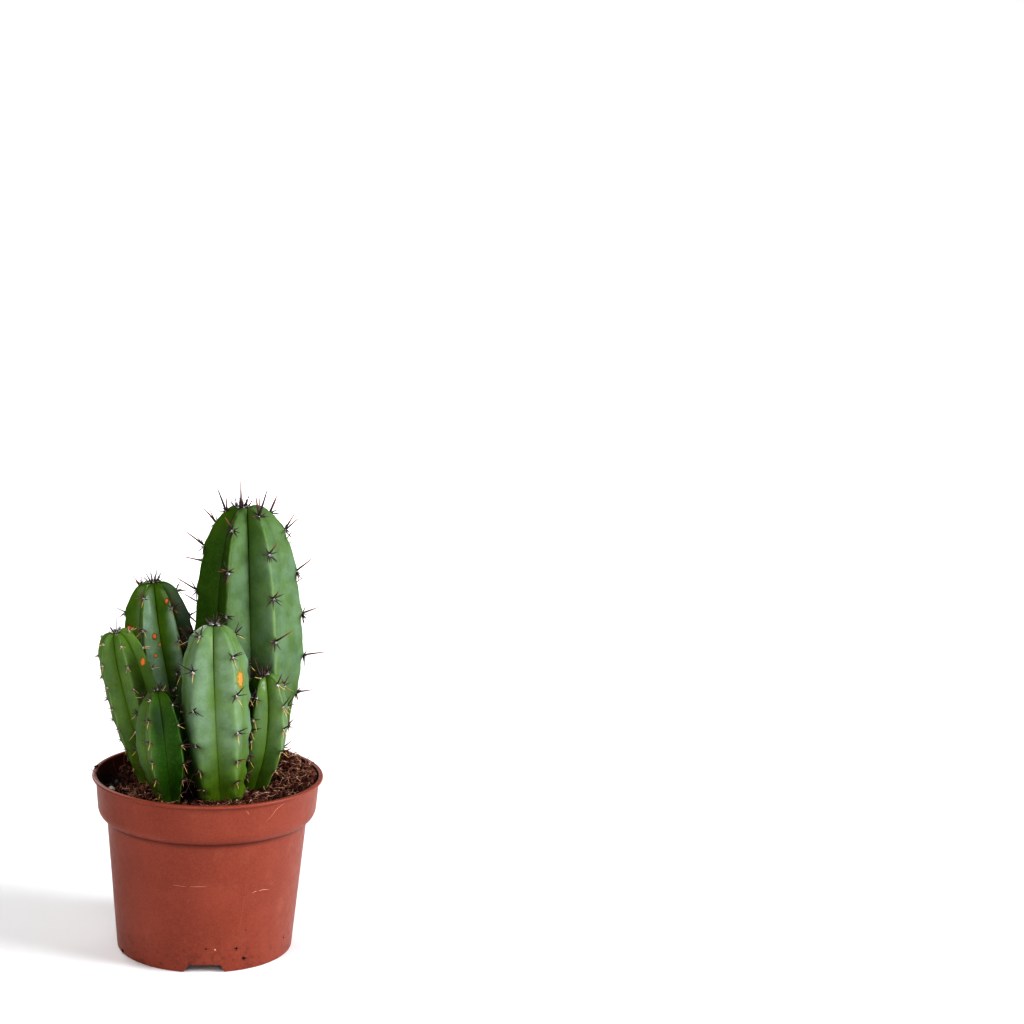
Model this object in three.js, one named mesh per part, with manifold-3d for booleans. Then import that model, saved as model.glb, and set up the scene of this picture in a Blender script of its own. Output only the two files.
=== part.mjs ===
// A columnar cactus with seven ribbed stems, in a round plastic nursery pot filled with soil.
// Millimetres, +Z up. The origin is the centre of the pot's foot plane, and the front faces -Y.

import * as THREE from 'three';
import { mergeVertices } from 'three/addons/utils/BufferGeometryUtils.js';
import Module from 'manifold-3d';

const wasm = await Module();
wasm.setup();

// Gap kept between pieces that touch.
const SEAT_GAP = 0.3;

// Pot, outside.
const RIM_RADIUS = 60;
const POT_HEIGHT = 93;
const LIP_HEIGHT = 1.8;
const LIP_ROUND = 0.8;
const BAND_TOP_RADIUS = 58.1;
const BAND_LOW_RADIUS = 56.9;
const BAND_LOW_Z = 77;
const STEP_RADIUS = 52.1;
const STEP_Z = 70.5;
const FOOT_RADIUS = 45.7;
const FOOT_ROUND = 0.6;
const STEP_POINTS = 5;
const POT_SIDES = 48;

// Pot, wall, floor and foot.
const WALL = 1.2;
const LIP_INNER_RADIUS = 57.2;
const LIP_UNDERCUT = 0.3;
const STEP_INNER_LIFT = 0.6;
const FOOT_RECESS = 5;
const FLOOR = 1.4;
const FLOOR_Z = FOOT_RECESS + FLOOR;
const FOOT_RING_INNER = 43.2;

// Openings in the foot ring and the floor.
const NOTCH_COUNT = 3;
const NOTCH_TOP_WIDTH = 14.8;
const NOTCH_FOOT_WIDTH = 22.4;
const NOTCH_HEIGHT = 4;
const NOTCH_DEPTH = 8;
const NOTCH_CURVE_STEPS = 3;
const DRAIN_COUNT = 4;
const DRAIN_CIRCLE = 28;
const DRAIN_RADIUS = 4.5;
const DRAIN_SIDES = 16;

// Soil.
const SOIL_LEVEL = 85.3;
// The soil is heaped towards the right and the right back, where it reaches the rim, and it has a
// shallow hollow at the left.
const SOIL_LUMPS = [
  { x: 36, y: 25, height: 5.2, spread: 17 },
  { x: 55, y: 6, height: 5.5, spread: 16 },
  { x: 55, y: -12, height: 4.4, spread: 11 },
  { x: 50, y: 26, height: 2.6, spread: 15 },
  { x: 38, y: 42, height: 4.4, spread: 15 },
  { x: -46, y: 2, height: -1.6, spread: 14 },
];
const SOIL_RINGS = 9;
const SOIL_RIPPLE = { height: 0.5, alongX: 0.31, alongY: 0.27, shift: 1.3 };

// Stems. top is the growing tip, foot is where the stem leaves the soil, and bow bends the middle.
// radius is from the axis to the rib crests, dome is how far down the top takes to reach it, and
// waist is the share of the radius lost towards the foot.
const STEMS = [
  {
    name: 'stem_tall', top: [17.1, 31, 229.7], foot: [23.3, 26.5], bow: [-0.8, 4],
    radius: 29.2, dome: 101, blunt: 2.97, waist: 0.47, ribs: 7, phase: -23.1, rings: 20,
  },
  {
    name: 'stem_back', top: [-31.1, 34.4, 187.7], foot: [-9.2, 35.7], bow: [-6.6, 2.6],
    radius: 19.2, dome: 59, blunt: 2.77, waist: 0.30, ribs: 6, phase: -24, rings: 18,
  },
  {
    name: 'stem_left', top: [-49.1, 3.3, 167.6], foot: [-26.1, 12.1], bow: [-1.0, 1.6],
    radius: 14.3, dome: 45.3, blunt: 3.18, waist: 0.23, ribs: 6, phase: 11, rings: 16,
  },
  {
    name: 'stem_front', top: [1.1, -22.8, 178.3], foot: [7.3, -18.1], bow: [-1.5, -7.0],
    radius: 17.9, dome: 32.8, blunt: 2.24, waist: 0.30, ribs: 5, phase: -37, rings: 17,
  },
  {
    name: 'stem_front_left', top: [-26.7, -28, 144.6], foot: [-18.9, -23.1], bow: [-0.1, -12],
    radius: 13.2, dome: 31.8, blunt: 2.34, waist: 0.51, ribs: 5, phase: -25.2, rings: 15,
  },
  {
    name: 'stem_right', top: [28, -8.7, 149], foot: [22.4, 2.6], bow: [5.9, -3.9],
    radius: 13.5, dome: 40.3, blunt: 2.66, waist: 0.30, ribs: 5, phase: -27.3, rings: 15,
  },
  {
    name: 'stem_hidden', top: [-13.9, 5.9, 148.4], foot: [-7.4, 5.8], bow: [-0.4, -0.2],
    radius: 7.2, dome: 21.5, blunt: 1.9, waist: 0.4, ribs: 5, phase: -48, rings: 13,
  },
];
const STEM_FOOT_Z = 83;
const STEM_BURIED = 14;
const BURIED_RINGS = 3;
const BURIED_TIP = 0.35;
const WAIST_START = 0.5;
const GROOVE_DEPTH = 0.27;
const TIP_GROOVE_DEPTH = 0.2;
const TIP_GROOVE_REACH = 0.35;
const FACE_FULLNESS = 0.55;
const STEPS_PER_RIB = 4;
// Above 1, this sets a stem's rings closer together near the tip.
const RING_CROWDING = 1.35;

// Stones, by size along x, y and z, and by their place on the soil.
const STONES = [
  { name: 'stone_pale', size: [3.7, 3.2, 2.9], at: [-49.4, -10], turn: 20, colour: '#b9b2a6' },
  { name: 'stone_dark', size: [2.8, 2.4, 2.4], at: [-47.6, 6.6], turn: -35, colour: '#39403f' },
  { name: 'stone_grey', size: [2.6, 2.2, 1.9], at: [-50.3, 3.4], turn: 60, colour: '#5a5856' },
];
const STONE_LUMPS = { height: 0.12, alongX: 7, alongY: 6, alongZ: 2 };
const STONE_DETAIL = 2;

const POT_COLOUR = '#96513f';
const SOIL_COLOUR = '#2e1d17';
const STEM_COLOUR = '#4d7443';

function material(colour, roughness) {
  return new THREE.MeshStandardMaterial({ color: colour, roughness, metalness: 0 });
}

function lerp(a, b, t) {
  return a + (b - a) * t;
}

function smoothstep(t) {
  const c = Math.min(Math.max(t, 0), 1);
  return c * c * (3 - 2 * c);
}

// Turns a closed geometry into a solid.
function solidOf(geometry) {
  const bare = geometry.clone();
  bare.deleteAttribute('normal');
  bare.deleteAttribute('uv');
  const merged = mergeVertices(bare, 1e-4);
  return new wasm.Manifold(new wasm.Mesh({
    numProp: 3,
    vertProperties: merged.attributes.position.array,
    triVerts: Uint32Array.from(merged.index.array),
  }));
}

function geometryOf(solid) {
  const { numProp, vertProperties, triVerts } = solid.getMesh();
  const points = new Float32Array((vertProperties.length / numProp) * 3);
  for (let i = 0; i < points.length / 3; i += 1) {
    points[3 * i] = vertProperties[numProp * i];
    points[3 * i + 1] = vertProperties[numProp * i + 1];
    points[3 * i + 2] = vertProperties[numProp * i + 2];
  }
  const geometry = new THREE.BufferGeometry();
  geometry.setAttribute('position', new THREE.BufferAttribute(points, 3));
  geometry.setIndex(new THREE.BufferAttribute(Uint32Array.from(triVerts), 1));
  geometry.computeVertexNormals();
  return geometry;
}

// Spins an outline of [radius, z] points around the Z axis.
function spin(outline, sides) {
  const points = outline.map(([radius, z]) => new THREE.Vector2(radius, z));
  return new THREE.LatheGeometry(points, sides).rotateX(Math.PI / 2);
}

// Closes a stack of rings, each a list of points, with a tip point at either end.
function skin(rings, lowTip, highTip) {
  const sides = rings[0].length;
  const points = [lowTip, ...rings.flat(), highTip];
  const index = [];
  const at = (ring, side) => 1 + ring * sides + (side % sides);
  for (let side = 0; side < sides; side += 1) {
    index.push(0, at(0, side + 1), at(0, side));
    for (let ring = 0; ring < rings.length - 1; ring += 1) {
      index.push(at(ring, side), at(ring, side + 1), at(ring + 1, side + 1));
      index.push(at(ring, side), at(ring + 1, side + 1), at(ring + 1, side));
    }
    index.push(points.length - 1, at(rings.length - 1, side), at(rings.length - 1, side + 1));
  }
  const geometry = new THREE.BufferGeometry();
  const flat = points.flatMap((point) => [point.x, point.y, point.z]);
  geometry.setAttribute('position', new THREE.Float32BufferAttribute(flat, 3));
  geometry.setIndex(index);
  geometry.computeVertexNormals();
  return geometry;
}

// The rounded underside of the pot's band, from the wall out to the band, moved inwards and up.
function stepCurve(inset, lift) {
  const points = [];
  for (let i = 0; i <= STEP_POINTS; i += 1) {
    const angle = (Math.PI / 2) * (i / STEP_POINTS);
    points.push([
      lerp(STEP_RADIUS, BAND_LOW_RADIUS, Math.sin(angle)) - inset,
      BAND_LOW_Z - (BAND_LOW_Z - STEP_Z) * Math.cos(angle) + lift,
    ]);
  }
  return points;
}

// Inner face of the pot from the floor up to the lip.
function innerWall() {
  return [
    [FOOT_RADIUS - WALL, FLOOR_Z],
    ...stepCurve(WALL, STEP_INNER_LIFT),
    [LIP_INNER_RADIUS - LIP_UNDERCUT, POT_HEIGHT - LIP_HEIGHT],
  ];
}

function potOutline() {
  const crease = POT_HEIGHT - LIP_HEIGHT;
  const outside = [
    [FOOT_RING_INNER, 0],
    [FOOT_RADIUS - FOOT_ROUND, 0],
    [FOOT_RADIUS, FOOT_ROUND],
    ...stepCurve(0, 0),
    [BAND_TOP_RADIUS, crease],
    [RIM_RADIUS - LIP_ROUND / 2, crease],
    [RIM_RADIUS, crease + LIP_ROUND / 2],
    [RIM_RADIUS, POT_HEIGHT - LIP_ROUND],
    [RIM_RADIUS - LIP_ROUND, POT_HEIGHT],
    [LIP_INNER_RADIUS + LIP_ROUND / 2, POT_HEIGHT],
    [LIP_INNER_RADIUS, POT_HEIGHT - LIP_ROUND / 2],
  ];
  return [
    [0, FOOT_RECESS],
    [FOOT_RING_INNER, FOOT_RECESS],
    ...outside,
    ...innerWall().reverse(),
    [0, FLOOR_Z],
  ];
}

// A notch in the foot ring, at the front, with flanks that spread towards the foot.
function notchTool() {
  const shape = new THREE.Shape();
  shape.moveTo(-NOTCH_FOOT_WIDTH / 2, -1);
  shape.lineTo(NOTCH_FOOT_WIDTH / 2, -1);
  shape.lineTo(NOTCH_FOOT_WIDTH / 2, 0);
  shape.quadraticCurveTo(NOTCH_TOP_WIDTH / 2, 0, NOTCH_TOP_WIDTH / 2, NOTCH_HEIGHT);
  shape.lineTo(-NOTCH_TOP_WIDTH / 2, NOTCH_HEIGHT);
  shape.quadraticCurveTo(-NOTCH_TOP_WIDTH / 2, 0, -NOTCH_FOOT_WIDTH / 2, 0);
  const tool = new THREE.ExtrudeGeometry(shape, {
    depth: NOTCH_DEPTH,
    bevelEnabled: false,
    curveSegments: NOTCH_CURVE_STEPS,
  });
  tool.rotateX(Math.PI / 2);
  tool.translate(0, -FOOT_RING_INNER + NOTCH_DEPTH / 2, 0);
  return tool;
}

function drainTool() {
  const tool = new THREE.CylinderGeometry(DRAIN_RADIUS, DRAIN_RADIUS, 4 * FLOOR, DRAIN_SIDES);
  tool.rotateX(Math.PI / 2);
  tool.translate(0, 0, FLOOR_Z - FLOOR / 2);
  return tool;
}

function makePot() {
  let pot = solidOf(spin(potOutline(), POT_SIDES));
  for (let i = 0; i < NOTCH_COUNT; i += 1) {
    const turned = notchTool().rotateZ((i * 2 * Math.PI) / NOTCH_COUNT);
    pot = pot.subtract(solidOf(turned));
  }
  pot = pot.subtract(solidOf(drainTool()));
  for (let i = 0; i < DRAIN_COUNT; i += 1) {
    const turned = drainTool().translate(DRAIN_CIRCLE, 0, 0).rotateZ((i * 2 * Math.PI) / DRAIN_COUNT);
    pot = pot.subtract(solidOf(turned));
  }
  return geometryOf(pot);
}

// Share of a stem's crest radius at a place from the crest (0) to the groove (1). half is half a rib's
// angle, and the rib's face is between a flat one and a full one.
function ribShape(fromCrest, depth, half) {
  const groove = 1 - depth;
  const angle = fromCrest * half;
  const straight = (groove * Math.sin(half)) / (Math.sin(angle) + groove * Math.sin(half - angle));
  return lerp(straight, 1 - depth * fromCrest, FACE_FULLNESS);
}

// A stem's axis: a bowed line from the tip to the foot, then straight down into the soil.
function stemAxis(stem) {
  const tip = new THREE.Vector3(...stem.top);
  const foot = new THREE.Vector3(...stem.foot, STEM_FOOT_Z);
  const middle = tip.clone().add(foot).multiplyScalar(0.5);
  middle.x += stem.bow[0];
  middle.y += stem.bow[1];
  return new THREE.QuadraticBezierCurve3(tip, middle, foot);
}

function stemRings(stem, extra) {
  const axis = stemAxis(stem);
  const length = axis.getLength();
  const rings = [];
  const ringAt = (centre, along, crest, depth) => {
    const front = new THREE.Vector3(0, -1, 0).addScaledVector(along, along.y).normalize();
    const right = new THREE.Vector3().crossVectors(along, front).normalize();
    const steps = stem.ribs * STEPS_PER_RIB;
    const ring = [];
    for (let i = 0; i < steps; i += 1) {
      const angle = (i / steps) * 2 * Math.PI + THREE.MathUtils.degToRad(stem.phase);
      const inRib = (i % STEPS_PER_RIB) / STEPS_PER_RIB;
      const fromCrest = 1 - Math.abs(2 * inRib - 1);
      const reach = crest * ribShape(fromCrest, depth, Math.PI / stem.ribs) + extra;
      ring.push(centre.clone()
        .addScaledVector(right, reach * Math.sin(angle))
        .addScaledVector(front, reach * Math.cos(angle)));
    }
    return ring;
  };
  for (let i = 1; i <= stem.rings; i += 1) {
    const t = (i / stem.rings) ** RING_CROWDING;
    const fromTip = t * length;
    const inDome = Math.min(fromTip / stem.dome, 1);
    const domed = (1 - (1 - inDome) ** stem.blunt) ** (1 / stem.blunt);
    const waisted = 1 - stem.waist * smoothstep((t - WAIST_START) / (1 - WAIST_START));
    const depth = GROOVE_DEPTH + TIP_GROOVE_DEPTH * Math.exp(-fromTip / (TIP_GROOVE_REACH * stem.dome));
    const along = axis.getTangentAt(t).negate();
    rings.push(ringAt(axis.getPointAt(t), along, stem.radius * domed * waisted, depth));
  }
  const down = axis.getTangentAt(1);
  const footRadius = stem.radius * (1 - stem.waist);
  for (let i = 1; i <= BURIED_RINGS; i += 1) {
    const t = i / (BURIED_RINGS + 1);
    const centre = axis.getPointAt(1).addScaledVector(down, t * STEM_BURIED);
    const crest = footRadius * lerp(1, BURIED_TIP, t * t);
    rings.push(ringAt(centre, down.clone().negate(), crest, GROOVE_DEPTH * (1 - t)));
  }
  const buriedTip = axis.getPointAt(1).addScaledVector(down, STEM_BURIED + extra);
  const growingTip = axis.getPointAt(0).addScaledVector(axis.getTangentAt(0), -extra);
  return skin(rings.reverse(), buriedTip, growingTip);
}

// Height of the soil's top at a place, with its heaps, its hollow and small ripples.
function soilTop(x, y) {
  let z = SOIL_LEVEL;
  for (const lump of SOIL_LUMPS) {
    const away = Math.hypot(x - lump.x, y - lump.y) / lump.spread;
    z += lump.height * Math.exp(-away * away);
  }
  const ripple = Math.sin(x * SOIL_RIPPLE.alongX + SOIL_RIPPLE.shift) * Math.cos(y * SOIL_RIPPLE.alongY);
  return z + SOIL_RIPPLE.height * ripple;
}

function makeSoil() {
  const walls = innerWall().slice(0, -1).map(([radius, z]) => [radius - SEAT_GAP, z + SEAT_GAP]);
  const ringOf = (radius, zOf) => {
    const ring = [];
    for (let i = 0; i < POT_SIDES; i += 1) {
      const angle = (i / POT_SIDES) * 2 * Math.PI;
      const x = radius * Math.cos(angle);
      const y = radius * Math.sin(angle);
      ring.push(new THREE.Vector3(x, y, zOf(x, y)));
    }
    return ring;
  };
  const rings = walls.map(([radius, z]) => ringOf(radius, () => z));
  const topRadius = walls[walls.length - 1][0];
  for (let i = 0; i < SOIL_RINGS; i += 1) {
    rings.push(ringOf(topRadius * (1 - i / SOIL_RINGS), soilTop));
  }
  const low = new THREE.Vector3(0, 0, walls[0][1]);
  const high = new THREE.Vector3(0, 0, soilTop(0, 0));
  let soil = solidOf(skin(rings, low, high));
  for (const stem of STEMS) {
    soil = soil.subtract(solidOf(stemRings(stem, SEAT_GAP)));
  }
  return geometryOf(soil);
}

function makeStone(stone) {
  const ball = new THREE.IcosahedronGeometry(0.5, STONE_DETAIL);
  const geometry = mergeVertices(ball.deleteAttribute('uv').deleteAttribute('normal'));
  const position = geometry.attributes.position;
  const point = new THREE.Vector3();
  for (let i = 0; i < position.count; i += 1) {
    point.fromBufferAttribute(position, i);
    const wave = Math.cos(STONE_LUMPS.alongY * point.y + STONE_LUMPS.alongZ * point.z);
    const lump = Math.sin(STONE_LUMPS.alongX * point.x + stone.turn) * wave;
    point.multiplyScalar(1 + STONE_LUMPS.height * lump);
    position.setXYZ(i, point.x * stone.size[0], point.y * stone.size[1], point.z * stone.size[2]);
  }
  geometry.computeVertexNormals();
  return geometry;
}

const cactus = new THREE.Group();

function place(name, geometry, surface) {
  const mesh = new THREE.Mesh(geometry, surface);
  mesh.name = name;
  cactus.add(mesh);
  return mesh;
}

place('pot', makePot(), material(POT_COLOUR, 0.45));
place('soil', makeSoil(), material(SOIL_COLOUR, 0.95));
for (const stem of STEMS) {
  place(stem.name, stemRings(stem, 0), material(STEM_COLOUR, 0.5));
}
for (const stone of STONES) {
  const mesh = place(stone.name, makeStone(stone), material(stone.colour, 0.8));
  const [x, y] = stone.at;
  mesh.rotation.z = THREE.MathUtils.degToRad(stone.turn);
  mesh.position.set(x, y, soilTop(x, y) + stone.size[2] * 0.5 + SEAT_GAP);
}

export default cactus;
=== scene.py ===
import math

import bmesh
import bpy
import numpy as np
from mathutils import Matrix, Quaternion, Vector


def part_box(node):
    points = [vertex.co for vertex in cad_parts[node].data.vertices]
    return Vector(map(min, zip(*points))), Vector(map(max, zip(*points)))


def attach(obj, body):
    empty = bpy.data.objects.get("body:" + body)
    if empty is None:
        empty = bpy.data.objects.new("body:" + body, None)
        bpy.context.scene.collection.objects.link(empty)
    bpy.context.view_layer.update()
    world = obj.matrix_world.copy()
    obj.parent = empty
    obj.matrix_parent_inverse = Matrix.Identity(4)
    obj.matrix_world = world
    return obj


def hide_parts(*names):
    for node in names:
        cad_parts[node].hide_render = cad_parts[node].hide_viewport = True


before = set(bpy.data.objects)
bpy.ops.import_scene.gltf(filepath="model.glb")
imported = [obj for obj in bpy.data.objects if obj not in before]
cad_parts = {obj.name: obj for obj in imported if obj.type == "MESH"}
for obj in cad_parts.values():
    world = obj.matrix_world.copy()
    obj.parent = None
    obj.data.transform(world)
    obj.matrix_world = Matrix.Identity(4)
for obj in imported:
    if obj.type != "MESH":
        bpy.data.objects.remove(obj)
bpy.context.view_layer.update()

# Sizes are in millimetres, in the frame of the CAD model, and angles in degrees. The studio is in metres.
MM = 0.001
BODY = "root"
RIGHT = np.array([1.0, 0, 0])
BACK = np.array([0, 1.0, 0])
UP = np.array([0, 0, 1.0])

# The photograph's camera, fitted to the pot's lip, band, wall and foot.
CAMERA_DISTANCE = 1300
CAMERA_ELEVATION = 18.5
CAMERA_PIVOT = (0, 0, 45)
CAMERA_AIM = (154.2, 0, 235.0)
CAMERA_ROLL = 2.48
FOCAL_PX = 2422
FRAME_PX = 1024
SENSOR = 36

# Pot, as in the CAD model.
RIM_RADIUS = 60
POT_HEIGHT = 93
LIP_Z = 91.2
LIP_INNER_RADIUS = 57.6
BAND_TOP_RADIUS = 58.1
BAND_LOW_RADIUS = 56.9
BAND_LOW_Z = 77
STEP_RADIUS = 52.1
STEP_Z = 70.5
FOOT_RADIUS = 45.7
FOOT_RING_INNER = 43.2
FOOT_RECESS = 5
FLOOR_Z = 6.4
FLOOR_EDGE = FOOT_RING_INNER - 8
WALL = 1.2
NOTCH_TURNS = (0, 120, 240)
NOTCH_TOP = 14.8
NOTCH_FOOT = 22.4
NOTCH_HEIGHT = 4
NOTCH_FADE = 0.7
NOTCH_FLANK_TURNS = (8.5, 15)
DRAIN_CIRCLE = 28
DRAIN_RADIUS = 4.5
DRAIN_CUT_PAST = 2
# Radii that round the pot's edges.
RECESS_ROUND = 0.8
RING_ROUND = 0.4
FOOT_ROUND = 0.6
BAND_ROUND = 0.45
LIP_ROUND = 0.8
INNER_ROUND = 0.6
POT_COLUMNS = 240
SHARP_EDGE = 50

# Soil, as in the CAD model. A lump is a place, its height and its reach. Clods and grain are random: their
# height, their size, their seed and how many times they are overlaid by finer ones.
SOIL_LEVEL = 85.3
SOIL_RADIUS = 56.8
SOIL_GAP = 0.12
SOIL_LUMPS = ((36, 25, 5.2, 17), (55, 6, 5.5, 16), (55, -12, 4.4, 11), (50, 26, 2.6, 15), (38, 42, 4.4, 15),
              (-46, 2, -1.6, 14))
SOIL_CLODS = ((1.0, 9, 401, 2), (0.75, 3.6, 402, 3))
SOIL_GRAIN = (0.45, 1.3, 410, 2)
SOIL_STEPS = 250
# Radius and height of the soil's lower rings.
SOIL_SKIRT = ((55.4, BAND_LOW_Z + 1), (50.6, STEP_Z + 1), (44.4, FLOOR_Z + 0.4))
CRUMBS = 1700
BIG_CRUMBS = 460
FIBRES = 2700
FIBRE_CURL = 0.35
FIBRE_STEPS = 6
LYING_TAPER = np.array([0.7, 1, 1, 0.9, 0.8, 0.6, 0.3])
LOOSE_TAPER = np.array([1, 1, 0.9, 0.8, 0.7, 0.5, 0.3])

# Seeds of what is scattered at random.
CRUMB_SEED, FIBRE_SEED, LOOSE_SEED, MARK_SEED = 71, 72, 73, 74

# Stems, as in the CAD model: the tip, the foot at the soil, the bow of the middle, the crest radius, the
# dome's reach and bluntness, how much the foot narrows, and the first rib's turn from -Y, the front.
# grooves is how deep the groove after each rib is, against the usual depth, and middles is where it runs
# between this rib, 0, and the next one, 1. rings is how many rows of points the skin has.
# first is how far below the tip each rib's first areole sits, pitch is the step to the next one, squeeze
# is how much closer they sit near the foot, knob is how far the skin swells there, and wool is their size.
# crown is the number, length and half thickness of the tip's own spines, and how far right they sit.
# Grey bloom is partly real and partly a painted sheen: it is thickest on the skin that faces the lit side,
# a turn from the front towards the light, how much the face counts against the place on the stem, and the
# levels at which bloom starts and is full. lowest is its least share, and groove_bloom is its share in a
# groove. shade is painted shade on the skin that faces away from there, tone makes the whole stem darker or
# lighter, crest is how pale the crests are, and gloss and specular make it shine. USUAL_STEM holds where a
# stem says nothing else.
USUAL_STEM = dict(
    waist=0.3, squeeze=0.0, lit_side=(53, 0.5, -0.05, 0.85), bloom=0.3, lowest=0.3, groove_bloom=0.42,
    shade=0.0, tone=1.0, crest=0.2, gloss=0.0, specular=0.1,
)
STEMS = {
    "tall": dict(
        top=(17.1, 31, 229.7), foot=(23.3, 26.5), bow=(-0.8, 4), radius=29.2, dome=101, blunt=2.97,
        waist=0.47, phase=-23.1, rings=220, grooves=(1, 0.22, 1, 1, 1, 1, 0.7), pitch=23.3, squeeze=0.35,
        knob=0.75, first=(9.6, 3.3, 12.5, 6, 14, 11.5, 2), wool=1.15, crown=(15, 6.0, 0.38, -2.6),
        bloom=0.56, lowest=0.05, groove_bloom=0.88, shade=0.56, tone=0.83, crest=0.5, specular=0.05,
    ),
    "back": dict(
        top=(-31.1, 34.4, 187.7), foot=(-9.2, 35.7), bow=(-6.6, 2.6), radius=19.2, dome=59, blunt=2.77,
        phase=-24, rings=170, pitch=18, squeeze=0.25, knob=0.5,
        first=(6.2, 12.4, 6.2, 10, 3, 1.3), wool=1.0, crown=(20, 8.5, 0.2, 0),
        lit_side=(26, 1, 0.62, 0.92), bloom=1.0, lowest=0.0, shade=0.3, crest=0.4, gloss=0.16,
    ),
    "left": dict(
        top=(-49.1, 3.3, 167.6), foot=(-26.1, 12.1), bow=(-1.0, 1.6), radius=14.3, dome=45.3, blunt=3.18,
        waist=0.23, phase=11, rings=160, middles=(0.68, 0.5, 0.5, 0.5, 0.5, 0.5), pitch=12.2, squeeze=0.1,
        knob=0.35, first=(5.3, 1.3, 4, 7, 2.5, 3.5), wool=0.9, crown=(11, 6, 0.28, 0),
        lit_side=(-20, 0.5, -0.05, 0.85), bloom=0.2, lowest=0.4, tone=1.02, crest=0.3, gloss=0.1, specular=0.15,
    ),
    "front": dict(
        top=(1.1, -22.8, 178.3), foot=(7.3, -18.1), bow=(-1.5, -7.0), radius=17.9, dome=32.8, blunt=2.24,
        phase=-37, rings=190, grooves=(1, 0.6, 1, 1, 0.3), pitch=19, squeeze=0.5, knob=0.9,
        first=(5.3, 0.6, 5.8, 3, 9.1), wool=1.05, crown=(11, 5.2, 0.36, 0),
        lit_side=(-60, 0.5, -0.05, 0.85), bloom=0.72, lowest=0.8, crest=0.15, gloss=0.1, specular=0.2,
    ),
    "front_left": dict(
        top=(-26.7, -28, 144.6), foot=(-18.9, -23.1), bow=(-0.1, -12), radius=13.2, dome=31.8, blunt=2.34,
        waist=0.51, phase=-25.2, rings=150, pitch=9.4, squeeze=0.1, knob=0.3,
        first=(5.1, 0.8, 4, 7, 3), wool=0.6, crown=(11, 5.2, 0.24, 0),
        lit_side=(-75, 0.5, -0.05, 0.85), bloom=0.28, lowest=0.0, shade=0.85, tone=0.88,
    ),
    "right": dict(
        top=(28, -8.7, 149), foot=(22.4, 2.6), bow=(5.9, -3.9), radius=13.5, dome=40.3, blunt=2.66,
        phase=-27.3, rings=150, pitch=11.4, knob=0.4, first=(1, 4.7, 8.8, 6, 3), wool=1.0,
        crown=(13, 8.5, 0.26, 0), shade=0.3, tone=0.95, crest=0.3, gloss=0.2, specular=0.15,
    ),
    # The hidden stem's low tone and strong shade paint the deep shade it stands in, behind the others.
    "hidden": dict(
        top=(-13.9, 5.9, 148.4), foot=(-7.4, 5.8), bow=(-0.4, -0.2), radius=7.2, dome=21.5, blunt=1.9,
        waist=0.4, phase=-48, rings=80, pitch=10, knob=0.25, first=(1.8, 5, 3, 7, 4), wool=0.8,
        crown=(7, 3.0, 0.2, 0), shade=0.85, tone=0.45,
    ),
}
STEM_FOOT_Z = 83
STEM_BURIED = 9
WAIST_START = 0.5
GROOVE_DEPTH = 0.27
TIP_GROOVE_DEPTH = 0.2
TIP_GROOVE_REACH = 0.35
FACE_FULLNESS = 0.55
AXIS_POINTS = 1500
BURIED_POINTS = 60
FOOT_CLEARANCE = 2
TIP_DIMPLE = 1.3
DIMPLE_REACH = 3.2
DIMPLE_END = 5
# Unevenness of the skin: its depth, the size of its lumps and what is added to the stem's seed.
SKIN_WOBBLES = ((0.32, 17, 0), (0.08, 4, 9))

# A rib's columns, from its crest at 0 to the groove at 1, and how wide its crest and groove line are.
RIB_COLUMNS = (0, 0.03, 0.065, 0.11, 0.17, 0.25, 0.36, 0.49, 0.62, 0.74, 0.84, 0.91, 0.955, 0.985)
CREST_ROUND = 0.15
GROOVE_CREASE = 0.035

# The skin at an areole: a swell just above it and a dip below, each by its middle and reach, how deep the
# dip is against the swell, how wide both are, where they end, and how far below the tip they are full.
KNOB_SWELL = (-1.2, 3.2)
KNOB_DIP = (3.4, 2.6)
KNOB_DIP_DEPTH = 0.7
KNOB_WIDTH = 0.3
KNOB_END = 12
KNOB_FULL = 8

# Spines of each stem's areoles: the ways they lean, clockwise from 0 at the top, the angle from straight
# out, the length, the half thickness, and the age, which runs from 0, black, to 1, straw yellow.
SPINES = {
    "tall": (((5,), 34, 13.5, 0.5, 0.33), ((290,), 58, 7, 0.38, 0.2),
             ((65, 110, 150, 190, 230, 260, 330), 70, 5.9, 0.36, 0.1)),
    "back": (((15, 190), 35, 6.8, 0.33, 0.28), ((60, 110, 250, 310), 64, 5, 0.26, 0.25),
             ((160, 215), 60, 5.4, 0.22, 0.75)),
    "left": (((80, 285, 20), 58, 2.5, 0.22, 0.2), ((135, 225), 28, 4.6, 0.19, 0.8)),
    "front": (((35, 300), 50, 7.8, 0.4, 0.03), ((85, 255), 62, 5.7, 0.32, 0.05),
              ((170,), 55, 6.3, 0.24, 0.8), ((130, 215), 75, 3.4, 0.24, 0.15)),
    "front_left": (((20, 335, 80, 280), 56, 4.6, 0.23, 0.1), ((130, 230), 65, 3.2, 0.18, 0.3),
                   ((180,), 42, 5.0, 0.19, 0.85)),
    "right": (((10,), 40, 7.6, 0.36, 0.15), ((70, 300), 60, 6.0, 0.25, 0.3),
              ((140, 220), 60, 5.2, 0.24, 0.7)),
    "hidden": (((30, 330), 50, 4.0, 0.19, 0.05), ((120, 240), 60, 3.2, 0.17, 0.4)),
}
SPINE_STEPS = np.array([0, 0.12, 0.4, 0.72, 1.0])
SPINE_TAPER = np.array([1.15, 1.0, 0.84, 0.6, 0.16])
# How much the ways and the leans of the spines vary, and which share of them is missing at the tip, and
# how much more of them at the foot.
WAY_SPREAD = 13
LEAN_SPREAD = 9
MISSING = 0.04
MISSING_MORE = 0.25
WOOL_HAIRS = 16
CROWN_TUFTS = 6

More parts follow.
